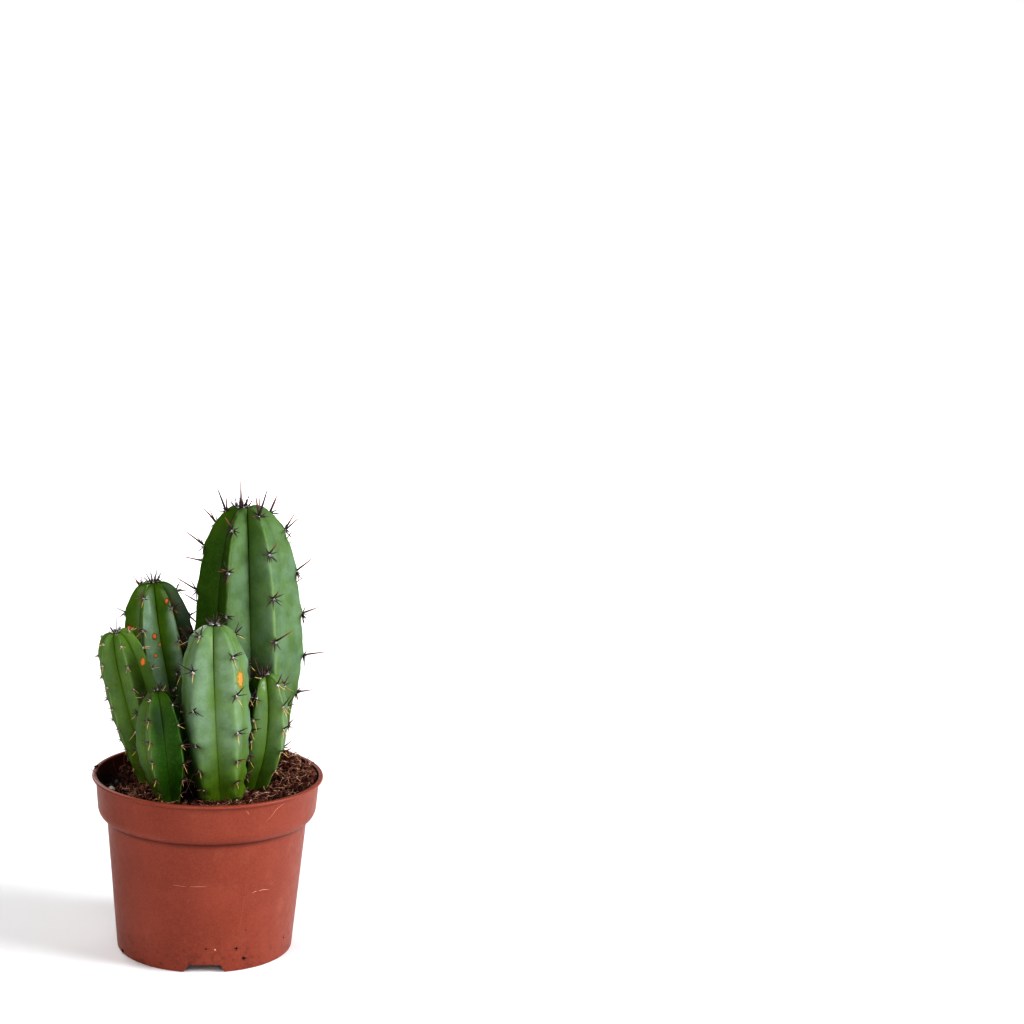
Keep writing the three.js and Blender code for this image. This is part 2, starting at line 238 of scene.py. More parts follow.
# Long spines of the tips themselves: how far to the right they start, the way, the length, the half
# thickness and the age.
TIP_SPINES = {
    "tall": (
        (-0.2, (-0.05, -0.1, 1), 17.5, 0.58, 0.22), (-2.2, (-0.28, -0.2, 0.95), 7.4, 0.4, 0.1),
        (2.2, (0.22, -0.1, 0.95), 7.2, 0.4, 0.12), (-3.6, (-0.45, 0, 0.85), 5.2, 0.3, 0.12),
        (3.4, (0.5, -0.1, 0.85), 5, 0.3, 0.12),
    ),
    "back": (
        (-0.5, (-0.14, 0, 1), 10.5, 0.31, 0.2), (0.8, (0.1, -0.1, 0.95), 8.6, 0.3, 0.2),
        (-1.2, (-0.46, 0, 0.85), 9.4, 0.3, 0.2), (1.2, (0.42, 0, 0.8), 8.4, 0.3, 0.2),
        (-1.6, (-0.8, 0, 0.6), 6.4, 0.26, 0.3), (1.6, (0.85, 0, 0.5), 6, 0.26, 0.3),
    ),
    "front": ((0, (-0.05, -0.1, 1), 6.2, 0.36, 0.1), (-1.8, (-0.5, -0.1, 0.85), 5.0, 0.36, 0.1)),
}

# Single long spines near the tips: the rib and the number of the areole, the way, the length, the half
# thickness and the age.
LONG_SPINES = {
    "tall": (
        (6, 0, (-0.34, -0.1, 0.93), 15, 0.66, 0.08), (1, 0, (0.28, -0.2, 0.95), 16.5, 0.68, 0.08),
        (1, 0, (-0.16, -0.2, 0.97), 14.5, 0.58, 0.2), (3, 0, (0.42, 0.1, 0.9), 9.8, 0.44, 0.35),
        (2, 0, (0.68, -0.2, 0.72), 12, 0.5, 0.35), (5, 0, (-0.42, 0.1, 0.9), 9.6, 0.44, 0.3),
        (5, 1, (-0.86, 0, 0.4), 6, 0.4, 0.35),
    ),
    "back": (
        (1, 0, (-0.05, 0, 0.99), 9.5, 0.3, 0.35), (1, 0, (0.95, 0, 0.2), 8.5, 0.28, 0.45),
        (5, 0, (-0.6, 0, 0.75), 8.5, 0.3, 0.3),
    ),
    "right": ((0, 0, (-0.3, -0.2, 0.95), 11.5, 0.28, 0.2), (0, 0, (0.35, -0.1, 0.93), 9, 0.26, 0.15)),
}

# Corky scars: how far below the tip, the turn from the front, the width and height of the patch and its
# colour from 0, red, to 1, yellow.
SCARS = {
    "tall": ((70, 178, 2.6, 4.2, 0.3), (96, 205, 2.0, 2.6, 0.5)),
    "back": ((8.6, 31, 2.8, 3.6, 0.2), (23.1, -73, 4.2, 3.4, 0.0), (26.6, -6, 3.0, 3.2, 0.35),
             (31.7, 3, 1.7, 1.9, 0.8), (36.8, -9, 2.2, 2.4, 0.7), (30, 150, 2.4, 3.4, 0.4)),
    "left": ((18.2, 62, 2.9, 4.8, 0.7), (34, 190, 2.2, 2.8, 0.3)),
    "front": ((27.2, 56, 10.4, 10, 1.0), (44, 170, 2.4, 3.2, 0.4)),
}

# Painted shade on stems where they stand close: how far below the tip, the turn from the front, the width
# and height, and how dark.
PAINTED_SHADE_PLACES = {
    "front_left": ((14.5, -3, 10.5, 32, 0.62),),
    "back": ((62, 52, 22, 64, 0.7), (28, 80, 15, 46, 0.4)),
    "right": ((14, -64, 12, 38, 0.65),),
}

# Painted shade on the soil: the place, the reach to the right and to the back, and how dark.
SOIL_SHADE_PLACES = ((-8.5, -7, 12, 27, 0.9), (-49, 9, 11, 14, 0.55))

# Paler, fibrous places in the soil, by their middle and reach.
PALE_PATCHES = ((-36, -14, 12), (-24, -30, 12), (44, 8, 20))

# Loose fibres near the pot's wall: how many, and the least and the most of their turn from the right, their
# distance from the middle, their rise, their length and their age.
LOOSE_FIBRES = (
    (54, (12, 66), (44, 56), (0.5, 1.2), (3, 7), (0.1, 0.9)),
    (16, (70, 150), (44, 55), (0.3, 0.9), (4, 8), (0.2, 0.9)),
    (12, (205, 340), (44, 53), (0.3, 0.8), (3, 6), (0.2, 0.9)),
)

# Single fibres: corners of the line, half thickness and age, where 1 is the palest.
WISPS = (
    (((-53, -2, 84), (-56.6, -3, 90), (-57.6, -3.4, 93.6), (-59.6, -4, 94.6), (-61.8, -4, 96.8),
      (-63.2, -4, 97.2), (-63.7, -4, 96.2)), 0.2, 0.1),
    (((-54, 3, 85), (-57.2, 1, 93), (-58.2, 0, 97), (-61.2, 0, 99.6), (-65, 0, 100.4)), 0.09, 0.45),
    (((-53, -9, 84), (-57, -8, 92), (-58.8, -8, 94), (-60.4, -8, 92.4), (-60.9, -8, 90.8)), 0.1, 0.3),
    (((-48, 24, 84), (-49.6, 25.6, 88), (-50.6, 26.4, 92), (-50.2, 27, 94)), 0.12, 0.6),
    (((-43.6, 33, 84), (-44.6, 34.4, 87), (-45.2, 34.6, 91), (-44.4, 35.6, 92.6)), 0.22, 0.75),
    (((51, 26, 90), (53, 27, 93.6), (54.6, 27, 96), (56.6, 27, 98.8), (59.5, 27, 101.4)), 0.12, 0.5),
    (((53, 23, 90), (55.4, 24, 92.4), (56.6, 24, 93.4), (58, 24, 94.6)), 0.1, 0.6),
    (((55, 14, 90), (57.4, 15, 92.6), (58.9, 15, 93.4), (60.2, 15, 94)), 0.1, 0.6),
    (((-12.6, -29, 103), (-10.4, -28, 95), (-7.4, -27, 88)), 0.1, 1.0),
    (((-12.2, -29, 97), (-9, -28, 97.6), (-6.4, -27, 95)), 0.08, 1.0),
    (((-11.4, -28, 90), (-9.6, -28, 95), (-7.2, -27, 101)), 0.08, 1.0),
)
# Crumbs left on the lip, by place and half size.
RIM_CRUMBS = ((-58.4, 8.4, 93, 0.9), (-57.9, 11.2, 93, 0.5), (-58.7, 5.6, 93, 0.4), (55.6, 19.5, 93, 0.5))
# Specks on the pot: the angle from the front, the height, the half size and the age.
POT_SPECKS = (
    (25.6, 6.6, 0.85, 0.0), (20.3, 12.8, 0.62, 0.0), (0.9, 13.4, 0.45, 0.0), (26, 22.1, 0.32, 0.1),
    (61, 10.6, 0.45, 0.1), (6.5, 12.8, 0.45, 1.0), (-66.8, 1.6, 0.75, 0.0), (-31, 9, 0.3, 0.3),
    (150, 14, 0.45, 0.1), (-140, 30, 0.3, 0.6), (118, 52, 0.35, 0.2),
)
# Specks larger than this have stuck hairs.
HAIRY_SPECK = 0.6
# Lines on the pot: angle and height of each corner, half thickness and age.
POT_LINES = (
    (((28.4, 42.4), (31.6, 42.9)), 0.17, 1.0), (((32.6, 42.6), (36.4, 42.9), (40.3, 42.0)), 0.17, 1.0),
    (((-20, 47.7), (-11, 47.3)), 0.1, 0.65), (((-9.5, 47.5), (0.5, 47.8)), 0.12, 0.7),
    (((25, 53), (23, 34), (20.3, 16)), 0.035, 0.6),
    (((31.5, 82.3), (35, 85.3), (36.5, 87.6), (43.5, 90.7)), 0.1, 0.85),
    (((19.1, 90.2), (20.1, 88.6), (21.5, 86.9)), 0.09, 0.9), (((-1.5, 91), (-1.2, 89)), 0.06, 0.8),
    (((160, 30), (168, 44)), 0.09, 0.8),
)

# Large odd numbers that stir the cells of the random noise.
STIR = (73856093, 19349663, 83492791)
STIR_SEED = 2654435761
STIR_AGAIN = 1274126177


def srgb(red, green, blue):
    """A colour given as 0 to 255 screen values, in the linear form that nodes take."""
    def linear(value):
        value = value / 255
        return value / 12.92 if value <= 0.04045 else ((value + 0.055) / 1.055) ** 2.4
    return (linear(red), linear(green), linear(blue), 1.0)


def smoothstep(value):
    value = np.clip(value, 0, 1)
    return value * value * (3 - 2 * value)


def unit(vector):
    vector = np.asarray(vector, float)
    return vector / np.linalg.norm(vector, axis=-1, keepdims=True)


def around(turn, first, second):
    """The way at a turn, in radians, from a first direction towards a second one."""
    return np.cos(turn) * first + np.sin(turn) * second


def from_front(turn):
    """The way at a turn from the front towards the right."""
    return around(np.radians(turn), -BACK, RIGHT)


def circle_turns(sides):
    return np.arange(sides) * 2 * math.pi / sides


def level_ring(turns, radius, centre):
    """Points on a level circle, at turns from the right towards the back."""
    return np.array(centre) + radius * around(turns[:, None], RIGHT, BACK)


def loop_faces(rows, columns, start=0, inward=False):
    """Faces between rows of points, each of which runs round in a loop."""
    faces = []
    for row in range(rows - 1):
        for column in range(columns):
            here = start + row * columns + column
            beside = start + row * columns + (column + 1) % columns
            face = [here, beside, beside + columns, here + columns]
            faces.append(face[:1] + face[:0:-1] if inward else face)
    return faces


def lattice_noise(points, size, seed):
    """Smooth random values from -1 to 1 at each point, with lumps about as large as size."""
    grid = np.asarray(points, float) / size
    cell = np.floor(grid).astype(np.int64)
    part = smoothstep(grid - cell)
    total = np.zeros(len(grid))
    for corner in np.ndindex(2, 2, 2):
        at = cell + corner
        code = np.bitwise_xor.reduce(at * STIR, axis=1) ^ (seed * STIR_SEED)
        code = (code ^ (code >> 13)) * STIR_AGAIN & 0xFFFFFFFF
        code = (code ^ (code >> 16)) & 0xFFFF
        weight = np.prod(np.where(np.array(corner) == 1, part, 1 - part), axis=1)
        total += weight * (code / 32767.5 - 1)
    return total


def rough_noise(points, size, seed, octaves=3):
    total = np.zeros(len(points))
    for octave in range(octaves):
        total += lattice_noise(points, size / 2 ** octave, seed + octave) / 2 ** octave
    return total


class Shader:
    """A procedural material, built node by node around one Principled surface.

    A colour is three screen values or a socket, and self.colour is the colour so far.
    """

    def __init__(self, name, roughness, specular):
        self.material = bpy.data.materials.new(name)
        self.material.use_nodes = True
        self.tree = self.material.node_tree
        self.inputs = self.tree.nodes["Principled BSDF"].inputs
        self.feed("Roughness", roughness)
        self.feed("Specular IOR Level", specular)
        self.place = self.add("ShaderNodeTexCoord").outputs["Object"]
        self.colour = None

    def feed(self, socket, value, inputs=None):
        """Feeds a link or a constant to a socket, of the surface where no other inputs are given."""
        socket = (inputs or self.inputs)[socket]
        if isinstance(value, bpy.types.NodeSocket):
            self.tree.links.new(value, socket)
        else:
            socket.default_value = value

    def add(self, kind, feeds=(), **settings):
        node = self.tree.nodes.new(kind)
        for key, value in settings.items():
            setattr(node, key, value)
        for socket, value in feeds:
            self.feed(socket, value, node.inputs)
        return node

    def math(self, operation, *values):
        return self.add("ShaderNodeMath", enumerate(values), operation=operation).outputs[0]

    def vector(self, operation, *values):
        return self.add("ShaderNodeVectorMath", enumerate(values), operation=operation).outputs

    def times(self, *values):
        product = values[0]
        for value in values[1:]:
            product = self.math("MULTIPLY", product, value)
        return product

    def level(self, value, low, high):
        """0 where the value is at low, 1 where it is at high, and smooth between."""
        feeds = (("Value", value), ("From Min", low), ("From Max", high))
        return self.add("ShaderNodeMapRange", feeds, interpolation_type="SMOOTHSTEP").outputs["Result"]

    def at_least(self, least, share):
        """A share from 0 to 1, raised to run from its least to 1."""
        return self.math("MULTIPLY_ADD", share, 1 - least, least)

    def attribute(self, name):
        return self.add("ShaderNodeAttribute", attribute_name=name).outputs["Fac"]

    def split_place(self):
        return self.add("ShaderNodeSeparateXYZ", ((0, self.place),)).outputs

    def noise(self, size, detail=3, roughness=0.55, distortion=0.0, stretch=None):
        place = self.vector("MULTIPLY", self.place, stretch)[0] if stretch else self.place
        feeds = (("Vector", place), ("Scale", 1 / (size * MM)), ("Detail", detail),
                 ("Roughness", roughness), ("Distortion", distortion))
        return self.add("ShaderNodeTexNoise", feeds).outputs["Fac"]

    def cells(self, size):
        feeds = (("Vector", self.place), ("Scale", 1 / (size * MM)))
        return self.add("ShaderNodeTexVoronoi", feeds).outputs["Distance"]

    def away_from(self, centre, reaches):
        """How far a place is from a centre: 1 at the edge of an egg with those reaches."""
        apart = self.vector("SUBTRACT", self.place, tuple(value * MM for value in centre))[0]
        scaled = self.vector("MULTIPLY", apart, tuple(1 / (reach * MM) for reach in reaches))[0]
        return self.vector("LENGTH", scaled)["Value"]

    def mix(self, mode, factor, first, second):
        feeds = ((0, factor), (6, first), (7, second))
        return self.add("ShaderNodeMix", feeds, data_type="RGBA", blend_type=mode).outputs[2]

    def blend(self, factor, *colours):
        first, second = (srgb(*colour) if isinstance(colour, tuple) else colour for colour in colours)
        return self.mix("MIX", factor, first, second)

    def start(self, factor, first, second):
        self.colour = self.blend(factor, first, second)

    def lay(self, colour, *shares):
        """Lays a colour over what is there, by the product of its shares."""
        self.colour = self.blend(self.times(*shares), self.colour, colour)

    def dim(self, tone):
        self.colour = self.mix("MULTIPLY", 1.0, self.colour, (tone, tone, tone, 1))

    def rough(self, share, low, high):
        self.feed("Roughness", self.math("MULTIPLY_ADD", share, high - low, low))

    def finish(self, *layers):
        """Feeds the colour and the bump. Each layer is a height from 0 to 1 and its depth."""
        self.feed("Base Color", self.colour)
        normal = None
        for height, depth in layers:
            node = self.add("ShaderNodeBump", (("Height", height), ("Distance", depth * MM)))
            if normal is not None:
                self.feed("Normal", normal, node.inputs)
            normal = node.outputs["Normal"]
        if normal is not None:
            self.feed("Normal", normal)
        return self.material


def make_piece(name, points, faces, material, slot, replaced=(), smooth=True, **tones):
    """A mesh object from points in millimetres. Each tone is an attribute with one value a point."""
    mesh = bpy.data.meshes.new(name)
    mesh.from_pydata((np.asarray(points, float) * MM).tolist(), [], faces)
    for key, values in tones.items():
        mesh.attributes.new(key, "FLOAT", "POINT").data.foreach_set("value", np.asarray(values, np.float32))
    if smooth:
        mesh.shade_smooth()
    else:
        mesh.shade_flat()
    mesh.materials.append(material)
    mesh.update()
    piece = bpy.data.objects.new(name, mesh)
    bpy.context.scene.collection.objects.link(piece)
    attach(piece, BODY)
    if replaced:
        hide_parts(*replaced)
    return piece


class Bundle:
    """Gathers many small closed shapes that become one piece."""

    def __init__(self):
        self.points = []
        self.faces = []
        self.tones = {"along": [], "age": []}
        self.count = 0

    def put(self, points, faces, along, age):
        self.points.append(points)
        self.faces.extend([[self.count + corner for corner in face] for face in faces])
        self.tones["along"].append(along)
        self.tones["age"].append(np.full(len(points), age))
        self.count += len(points)

    def tube(self, path, radii, age, sides=5):
        """A tapered tube along a path, closed at both ends."""
        path = np.asarray(path, float)
        steps = unit(np.gradient(path, axis=0))
        spare = np.eye(3)[np.abs(path[-1] - path[0]).argmin()]
        side = unit(np.cross(steps, spare))
        ring = around(circle_turns(sides)[:, None], side[:, None], np.cross(steps, side)[:, None])
        points = path[:, None] + np.asarray(radii)[:, None, None] * ring
        last = (len(path) - 1) * sides
        faces = [list(range(sides))[::-1], [last + corner for corner in range(sides)]]
        along = np.repeat(np.linspace(0, 1, len(path)), sides)
        self.put(points.reshape(-1, 3), faces + loop_faces(len(path), sides), along, age)

    def lump(self, centre, axes, age, shape):
        """A knobbly lump. axes holds its three half sizes as vectors, one a row."""
        points, faces = shape
        self.put(np.asarray(centre) + points @ np.asarray(axes), faces, (points[:, 2] + 1) / 2, age)

    def piece(self, name, material, slot, smooth=True):
        tones = {key: np.concatenate(values) for key, values in self.tones.items()}
        make_piece(name, np.concatenate(self.points), self.faces, material, slot, (), smooth, **tones)


def ball(detail):
    """The points and faces of a round ball of radius 1."""
    shape = bmesh.new()
    bmesh.ops.create_icosphere(shape, subdivisions=detail, radius=1)
    points = np.array([vertex.co[:] for vertex in shape.verts])
    faces = [[vertex.index for vertex in face.verts] for face in shape.faces]
    shape.free()
    return points, faces


def knobbly(detail, roughness, count, seed):
    """Several rough balls to pick from."""
    points, faces = ball(detail)
    swells = [roughness * rough_noise(points + number * 7.3, 0.9, seed + number) for number in range(count)]
    return [(points * (1 + swell[:, None]), faces) for swell in swells]


COARSE_LUMPS = knobbly(detail=1, roughness=0.45, count=12, seed=21)
FINE_LUMPS = knobbly(detail=2, roughness=0.42, count=16, seed=51)
FELT_LUMPS = knobbly(detail=2, roughness=0.3, count=12, seed=81)


def make_camera():
    elevation = math.radians(CAMERA_ELEVATION)
    place = Vector(CAMERA_PIVOT) + CAMERA_DISTANCE * Vector((0, -math.cos(elevation), math.sin(elevation)))
    look = (Vector(CAMERA_AIM) - place).to_track_quat("-Z", "Y")
    data = bpy.data.cameras.new("camera")
    data.sensor_width = SENSOR
    data.lens = FOCAL_PX * SENSOR / FRAME_PX
    camera = bpy.data.objects.new("camera", data)
    camera.location = place * MM
    camera.rotation_euler = (look @ Quaternion((0, 0, 1), math.radians(CAMERA_ROLL))).to_euler()
    bpy.context.scene.collection.objects.link(camera)
    bpy.context.scene.camera = camera


def make_light(name, place, aim, size, power, spread=180, colour=(1, 1, 1)):
    data = bpy.data.lights.new(name, "AREA")
    data.spread = math.radians(spread)
    data.shape = "DISK"
    data.size = size
    data.energy = power
    data.color = colour
    light = bpy.data.objects.new(name, data)
    light.location = place
    light.rotation_euler = (Vector(aim) - Vector(place)).to_track_quat("-Z", "Y").to_euler()
    bpy.context.scene.collection.objects.link(light)


def make_floor():
    """A wide pale dish, in metres."""
    flat, high = 2.6, 2.4
    sides, steps = 96, 16
    outline = [(flat * share, 0.0) for share in (0.15, 0.5, 1.0)]
    for turn in np.linspace(0, math.pi / 2, steps + 1)[1:]:
        outline.append((flat + high * math.sin(turn), high * (1 - math.cos(turn))))
    rings = [level_ring(circle_turns(sides), radius, (0, 0, z)) for radius, z in outline]
    faces = [[0, 1 + side, 1 + (side + 1) % sides] for side in range(sides)]
    faces += loop_faces(len(outline), sides, start=1, inward=True)
    mesh = bpy.data.meshes.new("floor")
    mesh.from_pydata(np.concatenate([[[0, 0, 0]], *rings]).tolist(), [], faces)
    mesh.shade_smooth()
    shader = Shader("floor", 0.9, 0.2)
    shader.colour = (0.82, 0.82, 0.82, 1)
    mesh.materials.append(shader.finish())
    floor = bpy.data.objects.new("floor", mesh)
    bpy.context.scene.collection.objects.link(floor)


def make_studio():
    """Soft lights above the floor, in metres and watts, and a dim world."""
    world = bpy.data.worlds.new("studio")
    world.use_nodes = True
    background = world.node_tree.nodes["Background"]
    background.inputs["Color"].default_value = (0.97, 0.98, 1.0, 1)
    background.inputs["Strength"].default_value = 0.08
    bpy.context.scene.world = world
    make_light("key", (1.35, -0.5, 0.75), (0, 0, 0.12), 0.8, 31, colour=(0.95, 0.98, 1.03))
    make_light("fill", (0.0, -1.5, 0.6), (0, 0, 0.1), 1.0, 8)
    make_light("back_fill", (-0.7, 1.4, 0.9), (0, 0, 0.12), 0.9, 12.5)
    make_light("near_backdrop", (0.0, -1.2, 1.8), (0.0, -3.6, 0.9), 1.2, 24, 110)
    make_light("left_fill", (-0.95, -1.05, 1.0), (0, 0, 0.12), 0.8, 9.5)
    make_light("backdrop", (0.3, 1.0, 1.6), (0.3, 3.6, 0.7), 1.2, 40, 110)
    make_light("floor_light", (0.2, 1.35, 1.9), (0.2, 1.6, 0), 1.4, 11, 85)
    bpy.context.scene.view_settings.view_transform = "Standard"
    bpy.context.scene.view_settings.look = "High Contrast"


def arc(centre_r, centre_z, reach, start, end, steps):
    """Points of the pot's outline round a centre. reach is one radius, or the one across and the one up."""
    across, up = np.broadcast_to(reach, 2)
    turns = np.radians(np.linspace(start, end, steps + 1))
    return [(centre_r + across * math.cos(t), centre_z + up * math.sin(t)) for t in turns]


def pot_outline():
    """Outline of the pot's wall from the floor's underside, out, over the lip and down to the floor."""
    step_r = BAND_LOW_RADIUS - STEP_RADIUS
    step_z = BAND_LOW_Z - STEP_Z
    outline = [(FLOOR_EDGE, FOOT_RECESS), (FOOT_RING_INNER - 2, FOOT_RECESS)]
    outline += arc(FOOT_RING_INNER - RECESS_ROUND, FOOT_RECESS - RECESS_ROUND, RECESS_ROUND, 90, 0, 4)
    outline += [(FOOT_RING_INNER, 2.2)]
    outline += arc(FOOT_RING_INNER + RING_ROUND, RING_ROUND, RING_ROUND, 180, 270, 3)
    outline += arc(FOOT_RADIUS - FOOT_ROUND, FOOT_ROUND, FOOT_ROUND, 270, 360, 5)
    for share in (0.03, 0.06, 0.1, 0.2, 0.3, 0.4, 0.5, 0.6, 0.7, 0.8, 0.9, 0.95):
        outline.append((wall_radius(STEP_Z * share), STEP_Z * share))
    outline += arc(STEP_RADIUS + 0.5, STEP_Z - 0.6, (0.6, 0.7), 180, 100, 4)
    outline += arc(STEP_RADIUS + 0.2, BAND_LOW_Z, (step_r - 0.2, step_z), 282, 360, 12)
    for share in (0.2, 0.4, 0.6, 0.8):
        z = BAND_LOW_Z + (LIP_Z - BAND_LOW_Z) * share
        outline.append((wall_radius(z), z))
    outline += arc(BAND_TOP_RADIUS + BAND_ROUND, LIP_Z - BAND_ROUND, BAND_ROUND, 180, 95, 4)
    outline += arc(RIM_RADIUS - 0.7, LIP_Z + 0.65, (0.7, 0.65), 270, 360, 5)
    outline += arc(RIM_RADIUS - LIP_ROUND, POT_HEIGHT - LIP_ROUND, LIP_ROUND, 0, 90, 6)
    outline += arc(LIP_INNER_RADIUS + INNER_ROUND, POT_HEIGHT - INNER_ROUND, INNER_ROUND, 90, 180, 5)
    outline += [(LIP_INNER_RADIUS - 0.3, LIP_Z), (BAND_LOW_RADIUS - WALL, BAND_LOW_Z + 0.6)]
    outline += arc(STEP_RADIUS - WALL + 0.2, BAND_LOW_Z + 0.6, (step_r - 0.2, step_z), 345, 282, 6)
    outline += [(STEP_RADIUS - WALL, STEP_Z - 0.5), (FOOT_RADIUS - WALL + 0.6, FLOOR_Z + 1.5)]
    outline += arc(FOOT_RADIUS - WALL - 1, FLOOR_Z + 1, 1, 340, 270, 4)
    outline += [(FLOOR_EDGE, FLOOR_Z)]
    return outline


def wall_radius(z):
    """The radius of the pot's outer wall at a height."""
    if z < STEP_Z:
        return FOOT_RADIUS + (STEP_RADIUS - FOOT_RADIUS) * z / STEP_Z
    return BAND_LOW_RADIUS + (BAND_TOP_RADIUS - BAND_LOW_RADIUS) * (z - BAND_LOW_Z) / (LIP_Z - BAND_LOW_Z)


def inner_radius(z):
    """The radius of the inner face of the pot's band at a height."""
    share = np.clip((z - BAND_LOW_Z - 0.6) / (LIP_Z - BAND_LOW_Z - 0.6), 0, 1)
    low = BAND_LOW_RADIUS - WALL
    return low + (LIP_INNER_RADIUS - 0.3 - low) * share


def on_wall(turn, z, out=0.0):
    """A place on the pot's outer wall, by its angle from the front towards the right."""
    return (wall_radius(z) + out) * from_front(turn) + z * UP


def notch_height(turn):
    """How far the foot is cut away at an angle around the pot."""
    height = np.zeros_like(turn)
    for notch in NOTCH_TURNS:
        away = np.abs((turn - notch + 180) % 360 - 180)
        across = np.radians(away) * FOOT_RADIUS
        flank = (across - NOTCH_TOP / 2) / (NOTCH_FOOT / 2 - NOTCH_TOP / 2)
        height = np.maximum(height, NOTCH_HEIGHT * (1 - smoothstep(flank)))
    return height


def pot_turns():
    """Angles of the pot's columns from the front, closer together at the flanks of the notches."""
    turns = list(np.linspace(0, 360, POT_COLUMNS, endpoint=False))
    for notch in NOTCH_TURNS:
        for side in (-1, 1):
            turns += list((notch + side * np.linspace(*NOTCH_FLANK_TURNS, 21)) % 360)
    turns = np.unique(np.round(turns, 3))
    return turns[np.append(np.diff(turns) > 0.08, True)]


def drain_cutter():
    """Short rods, one at each drain hole, in one object."""
    sides = 40
    rings, faces = [], []
    places = [(0, 0)] + [DRAIN_CIRCLE * around(turn, RIGHT, BACK)[:2] for turn in circle_turns(4)]
    for number, (x, y) in enumerate(places):
        start = 2 * sides * number
        for z in (FOOT_RECESS - DRAIN_CUT_PAST, FLOOR_Z + DRAIN_CUT_PAST):
            rings.append(level_ring(circle_turns(sides), DRAIN_RADIUS, (x, y, z)))
        faces.append([start + side for side in reversed(range(sides))])
        faces.append([start + sides + side for side in range(sides)])
        faces += loop_faces(2, sides, start)
    mesh = bpy.data.meshes.new("drain_cutter")
    mesh.from_pydata((np.concatenate(rings) * MM).tolist(), [], faces)
    cutter = bpy.data.objects.new("drain_cutter", mesh)
    bpy.context.scene.collection.objects.link(cutter)
    return cutter


def make_pot():
    turns = pot_turns()
    outline = pot_outline()
    cut = notch_height(turns)
    cut_reach = NOTCH_HEIGHT + NOTCH_FADE
    columns = len(turns)
    rows = []
    for radius, z in outline:
        raised = z + cut * max(1 - z / cut_reach, 0)
        rows.append(radius * from_front(turns[:, None]) + raised[:, None] * UP)
    points = np.concatenate([*rows, [FOOT_RECESS * UP, FLOOR_Z * UP]])
    faces = loop_faces(len(rows), columns)
    low_middle = len(points) - 2
    last = (len(rows) - 1) * columns
    for column in range(columns):
        beside = (column + 1) % columns
        faces.append([low_middle, beside, column])
        faces.append([low_middle + 1, last + column, last + beside])
    pot = make_piece("pot_shell", points, faces, pot_material(), "pot_plastic", ("pot",))
    cutter = drain_cutter()
    modifier = pot.modifiers.new("drain", "BOOLEAN")
    modifier.object = cutter
    modifier.operation = "DIFFERENCE"
    modifier.solver = "EXACT"
    shape = bpy.data.meshes.new_from_object(pot.evaluated_get(bpy.context.evaluated_depsgraph_get()))
    pot.modifiers.clear()
    pot.data = shape
    pot.data.name = "pot_shell"
    bpy.data.objects.remove(cutter)
    pot.data.set_sharp_from_angle(angle=math.radians(SHARP_EDGE))


def pot_material():
    """Terracotta plastic with grain, scuffs, a stained foot, dust and painted shade inside and a painted
    shadow under the band.
    """
    shader = Shader("pot_plastic", 0.46, 0.24)
    x, y, height = shader.split_place()
    grain = shader.noise(0.9, 2, 0.6)
    scuffs = shader.noise(7, 4, 0.7, 0.6, stretch=(1, 1, 0.18))
    shader.start(shader.level(grain, 0.35, 0.65), (114, 53, 38), (123, 60, 44))
    shader.lay((142, 76, 60), shader.level(shader.noise(0.5, 2, 0.7), 0.5, 0.68), 0.35)
    shader.lay((136, 70, 54), shader.level(shader.noise(26, 2), 0.4, 0.75), 0.35)
    shader.lay((98, 42, 30), shader.level(shader.cells(1.6), 0.12, 0.05), 0.4)
    shader.lay((160, 108, 88), shader.level(shader.noise(11, 5, 0.65), 0.55, 0.8), 0.18)
    shader.lay((165, 96, 76), shader.level(scuffs, 0.66, 0.74), 0.25)
    low = shader.level(height, 30 * MM, 2 * MM)
    shader.lay((84, 42, 30), shader.level(shader.noise(3.2, 4), 0.52, 0.66), low, 0.5)
    band_slope = (BAND_TOP_RADIUS - BAND_LOW_RADIUS) / (LIP_Z - BAND_LOW_Z)
    reach = shader.math("SQRT", shader.math("ADD", shader.times(x, x), shader.times(y, y)))
    upright_reach = shader.math("SUBTRACT", reach, shader.times(height, band_slope))
    middle = BAND_LOW_RADIUS - BAND_LOW_Z * band_slope - WALL / 2
    inside = shader.level(upright_reach, (middle + 0.15) * MM, (middle - 0.15) * MM)
    # The inner wall is darker, partly as soil dust and partly as painted shade.
    shader.lay((56, 27, 23), inside, shader.level(height, BAND_LOW_Z * MM, (BAND_LOW_Z + 2) * MM), 0.85)
    # Painted shadow just under the band's step, on the outer face.
    shadow_under_band = shader.times(shader.level(height, (STEP_Z - 3.2) * MM, (STEP_Z + 0.1) * MM),
                              shader.level(height, (STEP_Z + 0.9) * MM, (STEP_Z + 0.3) * MM))
    outer_face = shader.level(upright_reach, (middle - 4.6) * MM, (middle - 4.3) * MM)
    shader.lay((70, 28, 20), shadow_under_band, outer_face, 0.7)
    shader.rough(shader.noise(4, 3), 0.32, 0.57)
    return shader.finish((grain, 0.02), (scuffs, 0.03), (shader.noise(40, 1), 0.35))


